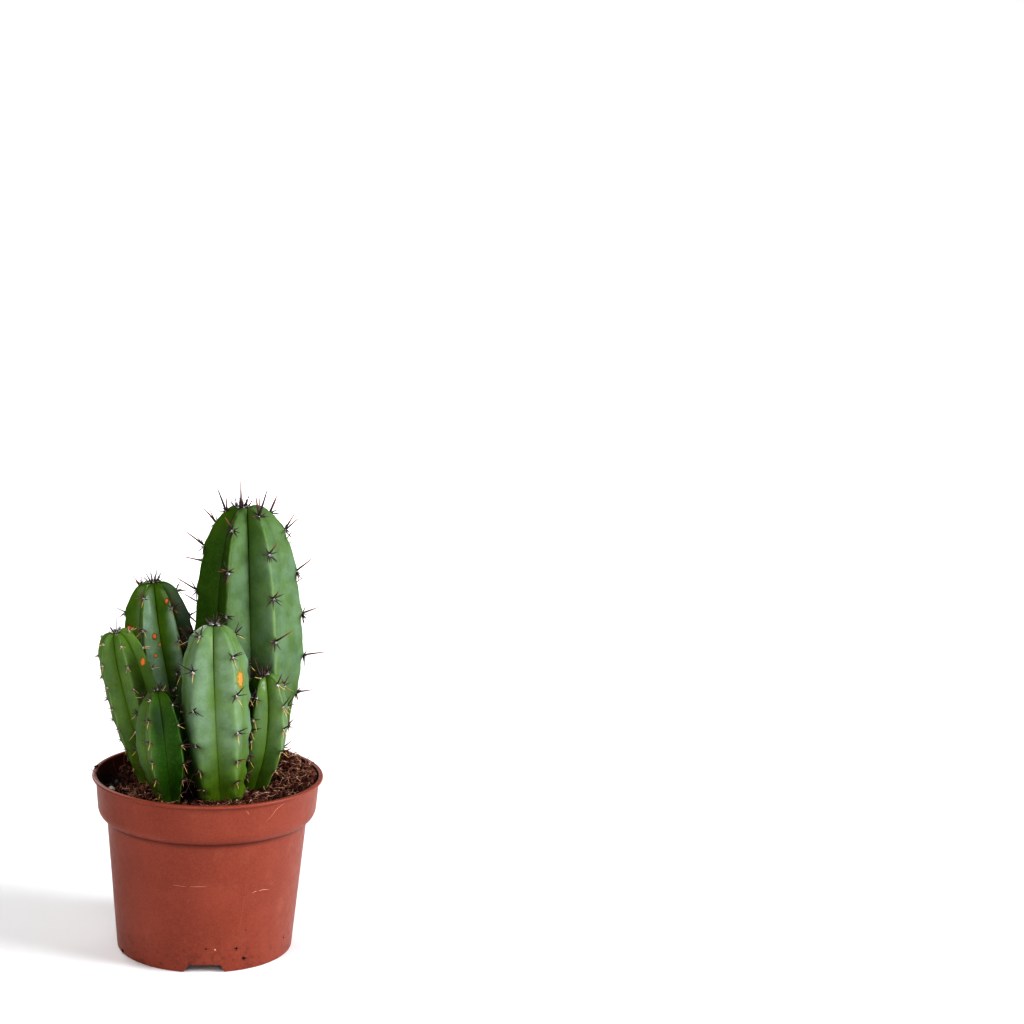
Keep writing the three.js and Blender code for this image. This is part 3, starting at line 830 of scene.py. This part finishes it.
class Stem:
    """A ribbed stem: its axis, its outline and the places of its areoles."""

    def __init__(self, name):
        ribs = len(STEMS[name]["first"])
        self.name = name
        self.spec = spec = {**USUAL_STEM, "grooves": (1,) * ribs, "middles": (0.5,) * ribs, **STEMS[name]}
        self.ribs = ribs
        self.rib_turn = 2 * math.pi / ribs
        self.phase = math.radians(spec["phase"])
        self.seed = list(STEMS).index(name) * 31 + 5
        tip = np.array(spec["top"], float)
        foot = np.array([*spec["foot"], STEM_FOOT_Z], float)
        middle = (tip + foot) / 2 + np.array([*spec["bow"], 0])
        t = np.linspace(0, 1, AXIS_POINTS)[:, None]
        line = (1 - t) ** 2 * tip + 2 * t * (1 - t) * middle + t * t * foot
        down = unit(line[-1] - line[-2])
        buried = line[-1] + down * np.linspace(0.1, STEM_BURIED, BURIED_POINTS)[:, None]
        self.line = np.concatenate([line, buried])
        self.reach = np.append(0, np.cumsum(np.linalg.norm(np.diff(self.line, axis=0), axis=1)))
        self.length = self.reach[len(line) - 1]
        self.end = self.reach[-1]
        self.along = -unit(np.gradient(self.line, axis=0))
        self.areoles = self.place_areoles()

    def place_areoles(self):
        """(distance from the tip, rib) of every areole above the soil."""
        pitch = self.spec["pitch"]
        places = []
        for rib, s in enumerate(self.spec["first"]):
            while s < self.length - FOOT_CLEARANCE:
                places.append((s, rib))
                young = 0.75 + 0.25 * min(s / (0.65 * pitch), 1)
                squeezed = 1 - self.spec["squeeze"] * smoothstep((s / self.length - 0.3) / 0.6)
                s += pitch * young * squeezed
        return places

    def frame_at(self, s):
        """The axis point and the up, right and front directions at a distance from the tip."""
        centre, up = (np.stack([np.interp(s, self.reach, values) for values in lines.T], axis=-1)
                      for lines in (self.line, self.along))
        up = unit(up)
        front = unit(-BACK + up * up[..., 1:2])
        return centre, up, unit(np.cross(up, front)), front

    def crest_radius(self, s):
        spec = self.spec
        inside = np.clip(s / spec["dome"], 0, 1)
        domed = (1 - (1 - inside) ** spec["blunt"]) ** (1 / spec["blunt"])
        waisted = 1 - spec["waist"] * smoothstep((s / self.length - WAIST_START) / (1 - WAIST_START))
        tapered = 1 - 0.75 * smoothstep((s - self.length) / STEM_BURIED)
        return spec["radius"] * domed * waisted * tapered

    def knobs(self, s, turn, across):
        """How far the skin stands out around the areoles, and in below each of them."""
        raised = np.zeros(len(s))
        on_crest = np.exp(-((across / KNOB_WIDTH) ** 2))
        for place, rib in self.areoles:
            away = s - place
            turn_away = (turn - self.phase - rib * self.rib_turn + math.pi) % (2 * math.pi) - math.pi
            near = (np.abs(away) < KNOB_END) & (np.abs(turn_away) < self.rib_turn / 2)
            swell, dip = (np.exp(-(((away[near] - middle) / reach) ** 2))
                          for middle, reach in (KNOB_SWELL, KNOB_DIP))
            shape = (swell - KNOB_DIP_DEPTH * dip) * on_crest[near]
            raised[near] += self.spec["knob"] * smoothstep(place / KNOB_FULL) * shape
        return raised

    def surface(self, s, turn):
        """Points on the skin, how far each is from the crest towards the groove, and how deep that is."""
        s, turn = (values.ravel() for values in np.broadcast_arrays(np.asarray(s, float), turn))
        sector = ((turn - self.phase) / self.rib_turn) % self.ribs
        rib_before = sector.astype(int) % self.ribs
        middle = np.array(self.spec["middles"], float)[rib_before]
        deep = np.array(self.spec["grooves"], float)[rib_before]
        in_rib = sector % 1
        in_rib = np.where(in_rib < middle, 0.5 * in_rib / middle, 1 - 0.5 * (1 - in_rib) / (1 - middle))
        across = 1 - np.abs(2 * in_rib - 1)
        soft = np.sqrt(across ** 2 + CREST_ROUND ** 2) - CREST_ROUND
        soft /= math.hypot(1, CREST_ROUND) - CREST_ROUND
        half = self.rib_turn / 2
        tip = np.exp(-s / (TIP_GROOVE_REACH * self.spec["dome"]))
        groove = 1 - GROOVE_DEPTH * deep - TIP_GROOVE_DEPTH * tip
        angle = soft * half
        straight = groove * math.sin(half) / (np.sin(angle) + groove * np.sin(half - angle))
        shape = straight * (1 - FACE_FULLNESS) + (1 - (1 - groove) * soft) * FACE_FULLNESS
        crest = self.crest_radius(s)
        crease = np.exp(-(((1 - across) / GROOVE_CREASE) ** 2))
        opened = 1 - 0.7 * smoothstep(2 * s / self.length)
        radius = crest * shape - deep * np.minimum(0.6, crest * 0.04) * crease * opened
        radius += self.knobs(s, turn, across)
        centre, up, right, front = self.frame_at(s)
        points = centre + radius[:, None] * around(turn[:, None], front, right)
        wobble = sum(depth * rough_noise(points, size, self.seed + more)
                     for depth, size, more in SKIN_WOBBLES)
        points = points + unit(points - centre + 1e-9) * (wobble * np.minimum(radius / 8, 1))[:, None]
        dimple = TIP_DIMPLE * np.exp(-((radius / DIMPLE_REACH) ** 2)) * (s < DIMPLE_END)
        return points - up * dimple[:, None], across, deep

    def skin_point(self, s, turn):
        return self.surface(s, turn)[0][0]

    def areole_frame(self, s, rib):
        """Where an areole sits, and its outward, upward and sideways directions."""
        turn = self.phase + rib * self.rib_turn
        above = self.skin_point(max(s - 1.5, 0.02), turn)
        below = self.skin_point(s + 1.5, turn)
        up = unit(above - below)
        _, _, right, front = self.frame_at(s)
        side = around(turn, right, -front)
        side = unit(side - up * (side @ up))
        return self.skin_point(s, turn), unit(np.cross(side, up)), up, side

    def mesh(self):
        """Points, faces, distances from the tip and tones of the skin. Its rows are closer at the tip."""
        columns = []
        for rib, middle in enumerate(self.spec["middles"]):
            shares = [share * middle for share in RIB_COLUMNS] + [middle]
            shares += [1 - share * (1 - middle) for share in RIB_COLUMNS[:0:-1]]
            columns += [self.phase + self.rib_turn * (rib + share) for share in shares]
        count = len(columns)
        share = np.arange(1, self.spec["rings"] + 1) / self.spec["rings"]
        s = self.end * (0.35 * share + 0.65 * share ** 2.2) * np.minimum(share * 12, 1) ** 1.6
        points, across, deep = self.surface(s[:, None], np.array(columns)[None])
        points = np.concatenate([points, [self.skin_point(0.0, 0.0), self.frame_at(self.end)[0]]])
        faces = loop_faces(len(s), count, inward=True)
        last = (len(s) - 1) * count
        for column in range(count):
            beside = (column + 1) % count
            faces.append([len(points) - 2, column, beside])
            faces.append([len(points) - 1, last + beside, last + column])
        tones = dict(across=np.append(across, [0, 0]), deep=np.append(deep, [1, 1]))
        return points, faces, np.append(np.repeat(s, count), [0, self.end]), tones


def stem_material(stem):
    """Green skin with grey bloom and a painted sheen on the lit side, painted shade, pale crests, an older
    foot and cork scars.
    """
    spec = stem.spec
    shader = Shader("stem_" + stem.name, 0.5, spec["specular"])
    shader.feed("Coat Weight", spec["gloss"])
    shader.feed("Coat Roughness", 0.2)
    across, down, deep, facing = (shader.attribute(name) for name in ("across", "down", "deep", "lit_side"))
    fine = shader.noise(1.1, 3, 0.65)
    streaks = shader.noise(2.4, 3, 0.6, stretch=(1, 1, 0.16))
    low, high = spec["lit_side"][2:]
    shader.start(shader.level(shader.noise(12, 4, 0.6), 0.3, 0.7), (58, 83, 4), (78, 104, 12))
    shader.lay((90, 116, 34), shader.level(streaks, 0.45, 0.75), 0.35)
    shader.lay((80, 106, 12), shader.level(across, 0.5, 0.95), 0.7 * (1 - spec["groove_bloom"]))
    # Painted shade on the skin that faces away from the light.
    shader.lay((19, 55, 2), shader.level(facing, high, low), spec["shade"])
    # Grey bloom is laid thickest on the skin that faces the light: partly real bloom and partly a painted
    # sheen.
    lit_side = shader.at_least(spec["lowest"], shader.level(facing, low, high))
    cover = shader.at_least(spec["groove_bloom"], shader.level(across, 1.0, 0.4))
    patchy = shader.at_least(0.5, shader.level(shader.noise(9, 4, 0.6), 0.28, 0.66))
    shader.lay((120, 141, 124), patchy, cover, lit_side, shader.level(down, 0.92, 0.5), spec["bloom"])
    on_crest = shader.level(across, 0.1, 0.02)
    shader.lay((128, 152, 96), on_crest, shader.level(streaks, 0.3, 0.6), spec["crest"])
    mottled = shader.level(shader.noise(5, 4), 0.35, 0.65)
    shader.lay((84, 98, 30), shader.level(down, 0.72, 1.0), mottled, 0.55)
    freckles = shader.level(shader.cells(2.3), 0.16, 0.06)
    shader.lay((150, 104, 48), freckles, shader.level(down, 0.7, 0.98), 0.8)
    shader.lay((106, 134, 76), shader.level(fine, 0.5, 0.75), 0.16)
    shader.lay((34, 62, 20), shader.level(fine, 0.45, 0.25), 0.25)
    shader.lay((76, 108, 20), shader.level(down, 0.2, 0.02), 0.35)
    # Painted shade along the groove creases, weaker towards the tip where the grooves open.
    closed = shader.at_least(0.35, shader.level(down, 0.5, 0.08))
    shader.lay((24, 42, 8), shader.level(across, 0.965, 1.0), closed, shader.level(deep, 0.15, 1.0), 0.8)
    shader.dim(spec["tone"])
    # Painted shade on the skin where stems stand close.
    for place, turn, width, height, dark in PAINTED_SHADE_PLACES.get(stem.name, ()):
        centre = stem.skin_point(place, math.radians(turn))
        away = shader.away_from(centre, (width / 2, width / 2, height / 2))
        shader.lay((7, 32, 1), shader.level(away, 1.15, 0.25), dark)
    layers = [(fine, 0.05), (shader.noise(4, 3, 0.5), 0.12), (shader.noise(0.35, 2), 0.02)]
    cork = lay_scars(shader, stem)
    if cork is not None:
        layers.append((cork, 0.25))
    shader.rough(shader.level(fine, 0.3, 0.7), 0.46, 0.58)
    return shader.finish(*layers)


def lay_scars(shader, stem):
    """Cork with a ragged outline and a dark ring. The result is where it lies."""
    cork = None
    for place, turn, width, height, yellow in SCARS.get(stem.name, ()):
        centre = stem.skin_point(place, math.radians(turn))
        away = shader.away_from(centre, (width / 2, width / 2, height / 2))
        ragged = shader.math("ADD", away, shader.math("MULTIPLY_ADD", shader.noise(1.3, 3), 1.3, -0.65))
        inside = shader.level(ragged, 1.1, 0.95)
        grainy = shader.noise(0.8, 3)
        red = shader.blend(grainy, (166, 68, 36), (196, 106, 66))
        orange = shader.blend(grainy, (204, 106, 50), (214, 138, 84))
        ring = shader.blend(yellow, (92, 58, 18), (128, 116, 26))
        core = shader.level(ragged, 0.74, 0.52)
        shader.lay(shader.blend(core, ring, shader.blend(yellow, red, orange)), inside)
        cork = inside if cork is None else shader.math("MAXIMUM", cork, inside)
    return cork


def spine_material():
    """Black at the base, reddish brown along a young spine, and straw yellow on an old one."""
    shader = Shader("spine", 0.5, 0.35)
    along = shader.attribute("along")
    age = shader.attribute("age")
    dark = shader.blend(shader.level(along, 0.5, 1.0), (14, 11, 18), (48, 32, 36))
    young = shader.blend(shader.level(along, 0.25, 0.85), (20, 12, 18), (126, 66, 54))
    old = shader.blend(shader.level(along, 0.0, 0.8), (140, 98, 46), (208, 172, 108))
    shader.start(shader.level(age, 0.08, 0.3), dark, young)
    shader.lay(old, shader.level(age, 0.5, 0.75))
    shader.lay((150, 120, 104), shader.noise(0.8, 3), 0.15)
    return shader.finish((shader.noise(0.3, 2, stretch=(1, 1, 0.3)), 0.02))


def wool_material():
    shader = Shader("wool", 0.95, 0.1)
    shader.start(shader.level(shader.noise(0.7, 4, 0.7), 0.35, 0.65), (122, 115, 116), (226, 222, 220))
    shader.lay((150, 132, 110), shader.attribute("age"), 0.4)
    return shader.finish((shader.noise(0.25, 3, 0.7), 0.12))


def add_spine(bundle, rng, base, direction, length, thick, age, limp=0.03):
    """A spine that tapers to a point and is bent at random by a share of its length."""
    bend = rng.normal(0, limp * length, 3)
    path = base + np.outer(SPINE_STEPS * length, unit(direction)) + np.outer(SPINE_STEPS ** 2, bend)
    bundle.tube(path, thick * SPINE_TAPER, age)


def add_wool(bundle, rng, point, out, up, side, size, age):
    """A felt cushion with short hairs."""
    axes = [side * size * rng.uniform(0.85, 1.1), up * size * rng.uniform(1.0, 1.25), out * size * 0.45]
    bundle.lump(point + out * 0.1, axes, age, FELT_LUMPS[rng.integers(len(FELT_LUMPS))])
    for _ in range(WOOL_HAIRS):
        turn = rng.uniform(0, 2 * math.pi)
        lean = around(rng.uniform(0.2, 1.25), out, around(turn, up, side))
        start = point + lean * size * 0.55
        curl = rng.normal(0, 0.25, 3)
        path = [start, start + lean * size * 0.6 + curl * 0.3, start + lean * size * 1.1 + curl]
        bundle.tube(path, (0.07, 0.055, 0.02), age, 3)


def make_skin(stem):
    """The skin, with each point's depth below the tip and how far it faces the lit side, where bloom and
    painted sheen go.
    """
    points, faces, depth, tones = stem.mesh()
    look = stem_material(stem)
    skin = make_piece("skin_" + stem.name, points, faces, look, "stem", ("stem_" + stem.name,),
                      down=depth / stem.length, **tones)
    facing = np.empty(3 * len(points), np.float32)
    skin.data.vertex_normals.foreach_get("vector", facing)
    from_axis = unit(points - stem.frame_at(depth)[0] + 1e-6)
    # How far each point faces the side the light falls on, which takes the painted sheen and escapes the
    # painted shade.
    turn, weight = stem.spec["lit_side"][:2]
    lit_side = (weight * facing.reshape(-1, 3) + (1 - weight) * from_axis) @ from_front(turn)
    skin.data.attributes.new("lit_side", "FLOAT", "POINT").data.foreach_set("value", lit_side.astype(np.float32))


def grow_areole(stem, rng, spines, wool, s, rib):
    """The spines and the wool of one areole. Those near the foot are fewer, shorter and paler."""
    point, out, up, side = stem.areole_frame(s, rib)
    share = s / stem.length
    grown = min(1, 0.75 + 0.25 * s / (0.5 * stem.spec["pitch"]))
    worn = 1 - 0.5 * smoothstep((share - 0.45) / 0.5)
    for clocks, usual_lean, usual_length, thick, young_age in SPINES[stem.name]:
        for clock in clocks:
            if rng.random() < MISSING + MISSING_MORE * share:
                continue
            way = around(math.radians(clock + rng.normal(0, WAY_SPREAD)), up, side)
            direction = around(math.radians(usual_lean + rng.normal(0, LEAN_SPREAD)), out, way)
            length = usual_length * rng.uniform(0.75, 1.12) * grown * worn
            age = np.clip(young_age + 0.35 * max(0, share - 0.35) + rng.normal(0, 0.05), 0, 1)
            start = point + way * 0.45 * stem.spec["wool"]
            add_spine(spines, rng, start, direction, length, thick, age, 0.05)
    number = sum(1 for other, other_rib in stem.areoles if other_rib == rib and other < s)
    for long_rib, long_number, direction, length, thick, age in LONG_SPINES.get(stem.name, ()):
        if (rib, number) == (long_rib, long_number):
            add_spine(spines, rng, point, direction, length, thick, age)
    size = stem.spec["wool"] * (0.8 + 0.25 * rng.random()) * (1 - 0.25 * share)
    add_wool(wool, rng, point - 0.2 * size * up, out, up, side, 0.86 * size, share)


def grow_crown(stem, rng, spines, wool):
    """Young dark spines and wool in the middle of the tip."""
    count, length, thick, right_by = stem.spec["crown"]
    centre, up, right, front = stem.frame_at(0.4)
    centre = centre + right * right_by
    reach = 0.11 * stem.spec["radius"] + 0.6
    for number in range(count):
        side = around(number * 2.4 + rng.normal(0, 0.3), front, right)
        start = centre + side * reach * math.sqrt((number + 0.5) / count) - up * 0.5
        direction = up + side * rng.uniform(0.15, 0.95)
        grown = length * (1.35 if number == 1 else rng.uniform(0.45, 1.0))
        add_spine(spines, rng, start, direction, grown, thick, rng.uniform(0, 0.2))
    for right_of, direction, long, thick, age in TIP_SPINES.get(stem.name, ()):
        add_spine(spines, rng, centre + right * right_of - up * 0.5, direction, long, thick, age)
    for number in range(CROWN_TUFTS):
        side = around(number * 1.05 + rng.normal(0, 0.2), front, right)
        add_wool(wool, rng, centre + side * reach * 0.8, unit(up + 0.6 * side), side, np.cross(up, side),
                 stem.spec["wool"] * 0.72, 0.05)


def grow_stem(stem, spine_look, wool_look):
    make_skin(stem)
    rng = np.random.default_rng(stem.seed)
    spines = Bundle()
    wool = Bundle()
    for s, rib in stem.areoles:
        grow_areole(stem, rng, spines, wool, s, rib)
    grow_crown(stem, rng, spines, wool)
    spines.piece("spines_" + stem.name, spine_look, "stem")
    wool.piece("wool_" + stem.name, wool_look, "stem")


def soil_height(x, y):
    """The soil's level at a place, before its clods and crumbs."""
    z = SOIL_LEVEL + 0.5 * np.sin(x * 0.31 + 1.3) * np.cos(y * 0.27)
    for lump_x, lump_y, height, spread in SOIL_LUMPS:
        z = z + height * np.exp(-((x - lump_x) ** 2 + (y - lump_y) ** 2) / spread ** 2)
    return z


def soil_surface(x, y):
    """The soil's level with its clods, which are lower at the wall."""
    flat = np.stack([x, y, np.zeros_like(x)], axis=-1)
    clods = sum(height * rough_noise(flat, *lumps) for height, *lumps in SOIL_CLODS)
    edge = smoothstep((SOIL_RADIUS - np.hypot(x, y)) / 3)
    return soil_height(x, y) + clods * (0.35 + 0.65 * edge)


def disc_grid(steps):
    """A square grid of points pulled into a disc of radius 1."""
    line = np.linspace(-1, 1, steps + 1)
    a, b = np.meshgrid(line, line, indexing="ij")
    wide = np.abs(a) > np.abs(b)
    reach = np.where(wide, a, b)
    with np.errstate(divide="ignore", invalid="ignore"):
        turn = np.where(wide, math.pi / 4 * b / a, math.pi / 2 - math.pi / 4 * a / b)
    turn = np.nan_to_num(turn)
    return (reach * np.cos(turn)).ravel(), (reach * np.sin(turn)).ravel()


def make_soil(look):
    """A closed body: a fine top that meets the pot's wall, and a plain skirt and base below it."""
    x, y = disc_grid(SOIL_STEPS)
    edge_x, edge_y = (SOIL_RADIUS * unit(np.stack([x, y], axis=-1) + 1e-9)).T
    reach = inner_radius(soil_surface(edge_x, edge_y)) - SOIL_GAP
    x, y = x * reach, y * reach
    points = np.stack([x, y, soil_surface(x, y)], axis=-1)
    inner = np.hypot(x, y) < reach - 0.6
    height, *grains = SOIL_GRAIN
    grain = height * rough_noise(points, *grains)
    points += inner[:, None] * grain[:, None] * np.array([0.5, 0.5, 1.0])
    wide = SOIL_STEPS + 1
    index = np.arange(wide * wide).reshape(wide, wide)
    corners = [index[:-1, :-1], index[1:, :-1], index[1:, 1:], index[:-1, 1:]]
    faces = np.stack(corners, axis=-1).reshape(-1, 4).tolist()
    above = np.concatenate([index[:, 0], index[-1, 1:], index[-2::-1, -1], index[0, -2:0:-1]]).tolist()
    turn = np.arctan2(points[above, 1], points[above, 0])
    for radius, level in SOIL_SKIRT:
        below = list(range(len(points), len(points) + len(above)))
        points = np.concatenate([points, level_ring(turn, radius, (0, 0, level))])
        for i in range(len(above)):
            j = (i + 1) % len(above)
            faces.append([above[j], above[i], below[i], below[j]])
        above = below
    faces.append(above[::-1])
    make_piece("soil_body", points, faces, look, "soil", ("soil",))


def soil_material():
    """Dark peat with flecks, painted light on its right side and painted shade in its dark places."""
    shader = Shader("soil", 0.95, 0.15)
    right = shader.split_place()[0]
    shader.start(shader.level(shader.noise(2.2, 4, 0.7), 0.35, 0.65), (19, 9, 8), (74, 39, 33))
    shader.lay((126, 76, 62), shader.level(shader.noise(0.8, 3, 0.7), 0.54, 0.7), 0.7)
    # Painted light on the soil's right side, where the light falls.
    shader.lay((112, 66, 56), shader.level(right, 10 * MM, 45 * MM), 0.45)
    shader.lay((110, 66, 56), shader.level(shader.attribute("age"), 0.55, 0.75), 0.8)
    shader.lay((9, 5, 6), shader.level(shader.noise(6, 3), 0.48, 0.62), 0.75)
    # Painted shade on the soil between and beside the stems.
    for x, y, reach_x, reach_y, strength in SOIL_SHADE_PLACES:
        away = shader.away_from((x, y, 0), (reach_x, reach_y, math.inf))
        shader.lay((5, 3, 3), shader.level(away, 1.1, 0.6), strength)
    return shader.finish((shader.noise(0.7, 4, 0.75), 0.5), (shader.noise(0.25, 3, 0.7), 0.2))


def fibre_material():
    shader = Shader("fibre", 0.8, 0.25)
    age = shader.attribute("age")
    shader.start(shader.level(age, 0.05, 0.6), (36, 18, 16), (138, 84, 68))
    shader.lay((200, 160, 134), shader.level(age, 0.65, 1.0))
    shader.lay((44, 24, 20), shader.level(shader.noise(0.9, 3), 0.4, 0.6), 0.4)
    return shader.finish((shader.noise(0.3, 3), 0.1))


def scatter(rng, stems, count, gap, reach):
    """Random places on the soil, clear of the stems."""
    radius = reach * np.sqrt(rng.random(count * 2))
    turn = rng.uniform(0, 2 * math.pi, count * 2)
    x, y = radius * np.cos(turn), radius * np.sin(turn)
    free = np.ones(len(x), bool)
    for stem in stems:
        depth = stem.length - FOOT_CLEARANCE
        stem_x, stem_y, _ = stem.frame_at(depth)[0]
        free &= np.hypot(x - stem_x, y - stem_y) > stem.crest_radius(depth) * 0.93 + gap
    x, y = x[free][:count], y[free][:count]
    return np.column_stack([x, y, soil_surface(x, y)])


def make_crumbs(stems, look):
    rng = np.random.default_rng(CRUMB_SEED)
    crumbs = Bundle()
    for number, place in enumerate(scatter(rng, stems, CRUMBS, -0.3, SOIL_RADIUS - 1.3)):
        big = number < BIG_CRUMBS
        size = rng.uniform(0.8, 1.6) if big else rng.uniform(0.3, 0.8)
        axes = np.linalg.qr(rng.normal(size=(3, 3)))[0]
        stretch = np.array([1, rng.uniform(0.5, 1), rng.uniform(0.3, 0.8)]) * size
        shapes = FINE_LUMPS if big else COARSE_LUMPS
        crumbs.lump(place + size * 0.3 * UP, axes * stretch[:, None], rng.random(),
                    shapes[rng.integers(len(shapes))])
    crumbs.piece("soil_crumbs", look, "soil", smooth=False)


def fibre_path(rng, start, turn, tilt, length):
    """A curling line from a point, which sets out at a turn and a tilt in radians."""
    path = [np.array(start, float)]
    twist = rng.normal(0, FIBRE_CURL)
    for _ in range(FIBRE_STEPS):
        turn += twist + rng.normal(0, FIBRE_CURL * 0.6)
        tilt = np.clip(tilt + rng.normal(0, 0.25), -0.9, 1.4)
        path.append(path[-1] + around(tilt, around(turn, RIGHT, BACK), UP) * length / FIBRE_STEPS)
    return np.array(path)


def soil_shade(x, y):
    """How deep in the painted shade a place on the soil lies."""
    dark = []
    for middle_x, middle_y, reach_x, reach_y, strength in SOIL_SHADE_PLACES:
        away = math.hypot((x - middle_x) / reach_x, (y - middle_y) / reach_y)
        dark.append(strength * math.exp(-away ** 4))
    return max(dark)


def make_fibres(stems, look):
    """Fibres that lie on the soil, held close to it."""
    rng = np.random.default_rng(FIBRE_SEED)
    paths, paleness = [], []
    for place in scatter(rng, stems, FIBRES, 0.4, SOIL_RADIUS - 1.5):
        length = rng.uniform(2.5, 8)
        turn = rng.uniform(0, 2 * math.pi)
        paths.append(fibre_path(rng, place + 0.3 * UP, turn, rng.normal(0.2, 0.35), length))
        # Fibres are paler in the pale patches and darker in the soil's painted shade.
        away = min(math.hypot(place[0] - x, place[1] - y) / reach for x, y, reach in PALE_PATCHES)
        paleness.append(0.4 * math.exp(-away * away) - soil_shade(*place[:2]))
    paths = np.array(paths)
    reach = np.hypot(paths[..., 0], paths[..., 1])
    paths[..., :2] *= np.minimum(1, (SOIL_RADIUS - 0.3) / reach)[..., None]
    ground = soil_surface(paths[..., 0].ravel(), paths[..., 1].ravel()).reshape(reach.shape)
    paths[..., 2] = np.clip(paths[..., 2], ground - 0.1, ground + 2.4)
    fibres = Bundle()
    for path, pale in zip(paths, paleness):
        half_thickness = rng.uniform(0.09, 0.3)
        fibres.tube(path, half_thickness * LYING_TAPER, min(max(rng.random() * 0.95 + pale, 0), 1), 4)
    fibres.piece("soil_fibres", look, "soil")


def smooth_path(corners, steps=14):
    """A rounded line near the given corners, which starts and ends on them."""
    corners = np.asarray(corners, float)
    for _ in range(2):
        cut = [corners[0]]
        for start, end in zip(corners[:-1], corners[1:]):
            cut += [start * 0.75 + end * 0.25, start * 0.25 + end * 0.75]
        corners = np.array(cut + [corners[-1]])
    reach = np.append(0, np.cumsum(np.linalg.norm(np.diff(corners, axis=0), axis=1)))
    at = np.linspace(0, reach[-1], steps)
    return np.stack([np.interp(at, reach, line) for line in corners.T], axis=-1)


def make_loose_ends(look):
    """Fibres that stand up from the soil, hang over the lip or span two stems."""
    rng = np.random.default_rng(LOOSE_SEED)
    loose = Bundle()
    for count, turns, reaches, rises, lengths, ages in LOOSE_FIBRES:
        for _ in range(count):
            turn = math.radians(rng.uniform(*turns))
            x, y, _ = rng.uniform(*reaches) * around(turn, RIGHT, BACK)
            z = soil_surface(np.array([x]), np.array([y]))[0]
            heading = turn + math.pi + rng.normal(0, 0.9)
            path = fibre_path(rng, (x, y, z - 0.3), heading, rng.uniform(*rises), rng.uniform(*lengths))
            half_thickness = rng.uniform(0.1, 0.2)
            loose.tube(path, half_thickness * LOOSE_TAPER, rng.uniform(*ages), 4)
    for corners, thick, age in WISPS:
        path = smooth_path(corners)
        loose.tube(path, thick * np.linspace(1, 0.35, len(path)), age, 5)
    for x, y, z, size in RIM_CRUMBS:
        axes = np.diag([size, size * 0.8, size * 0.7])
        loose.lump((x, y, z + size * 0.3), axes, 0.0, FINE_LUMPS[int(size * 10) % len(FINE_LUMPS)])
    loose.piece("soil_loose_ends", look, "soil")


def make_pot_marks():
    """Specks of soil, stuck hairs and raised scratches on the pot."""
    shader = Shader("pot_marks", 0.8, 0.2)
    shader.start(shader.level(shader.attribute("age"), 0.2, 0.8), (30, 16, 14), (190, 142, 124))
    rng = np.random.default_rng(MARK_SEED)
    marks = Bundle()
    for turn, z, size, age in POT_SPECKS:
        out = from_front(turn)
        side = np.cross(out, UP)
        start = on_wall(turn, z, 0.05)
        axes = [side * size, UP * size * 0.9, out * size * 0.4]
        marks.lump(start, axes, age, FINE_LUMPS[rng.integers(len(FINE_LUMPS))])
        for _ in range(5 if size > HAIRY_SPECK else 0):
            way = around(rng.uniform(0, 2 * math.pi), side, UP) + 0.15 * out
            marks.tube([start, start + way * size, start + way * size * 2.1], (0.16, 0.12, 0.04), age, 4)
    for corners, thick, age in POT_LINES:
        path = [on_wall(turn, z, -0.02) for turn, z in smooth_path(corners, 24)]
        marks.tube(path, thick * (0.4 + 0.6 * np.sin(math.pi * np.linspace(0, 1, len(path)))), age, 4)
    marks.piece("pot_marks", shader.finish(), "pot_plastic")


def make_stone(name, dark, pale, seed):
    """A finer stone in the place of a CAD one."""
    low, high = (np.array(corner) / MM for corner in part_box(name))
    points, faces = ball(4)
    grown = points * (1 + 0.1 * rough_noise(points + seed, 0.7, seed)[:, None])
    flat = lattice_noise(points * 3, 1.6, seed + 3)
    grown -= points * (0.06 * (flat > 0.3))[:, None]
    grown *= (high - low) / 2 / np.abs(grown).max(axis=0)
    shader = Shader(name, 0.75, 0.3)
    shader.start(shader.level(shader.noise(1.4, 4, 0.7), 0.35, 0.65), dark, pale)
    look = shader.finish((shader.noise(0.5, 4, 0.7), 0.12))
    make_piece(name + "_fine", (low + high) / 2 + grown, faces, look, "stone", (name,))


make_camera()
make_floor()
make_studio()
make_pot()
make_pot_marks()
soil_look = soil_material()
make_soil(soil_look)
spine_look = spine_material()
wool_look = wool_material()
stems = [Stem(stem_name) for stem_name in STEMS]
for stem in stems:
    grow_stem(stem, spine_look, wool_look)
fibre_look = fibre_material()
make_crumbs(stems, soil_look)
make_fibres(stems, fibre_look)
make_loose_ends(fibre_look)
make_stone("stone_pale", (172, 163, 152), (224, 220, 213), 3)
make_stone("stone_dark", (40, 46, 46), (70, 80, 78), 8)
make_stone("stone_grey", (56, 54, 56), (104, 102, 104), 14)

bpy.context.view_layer.update()
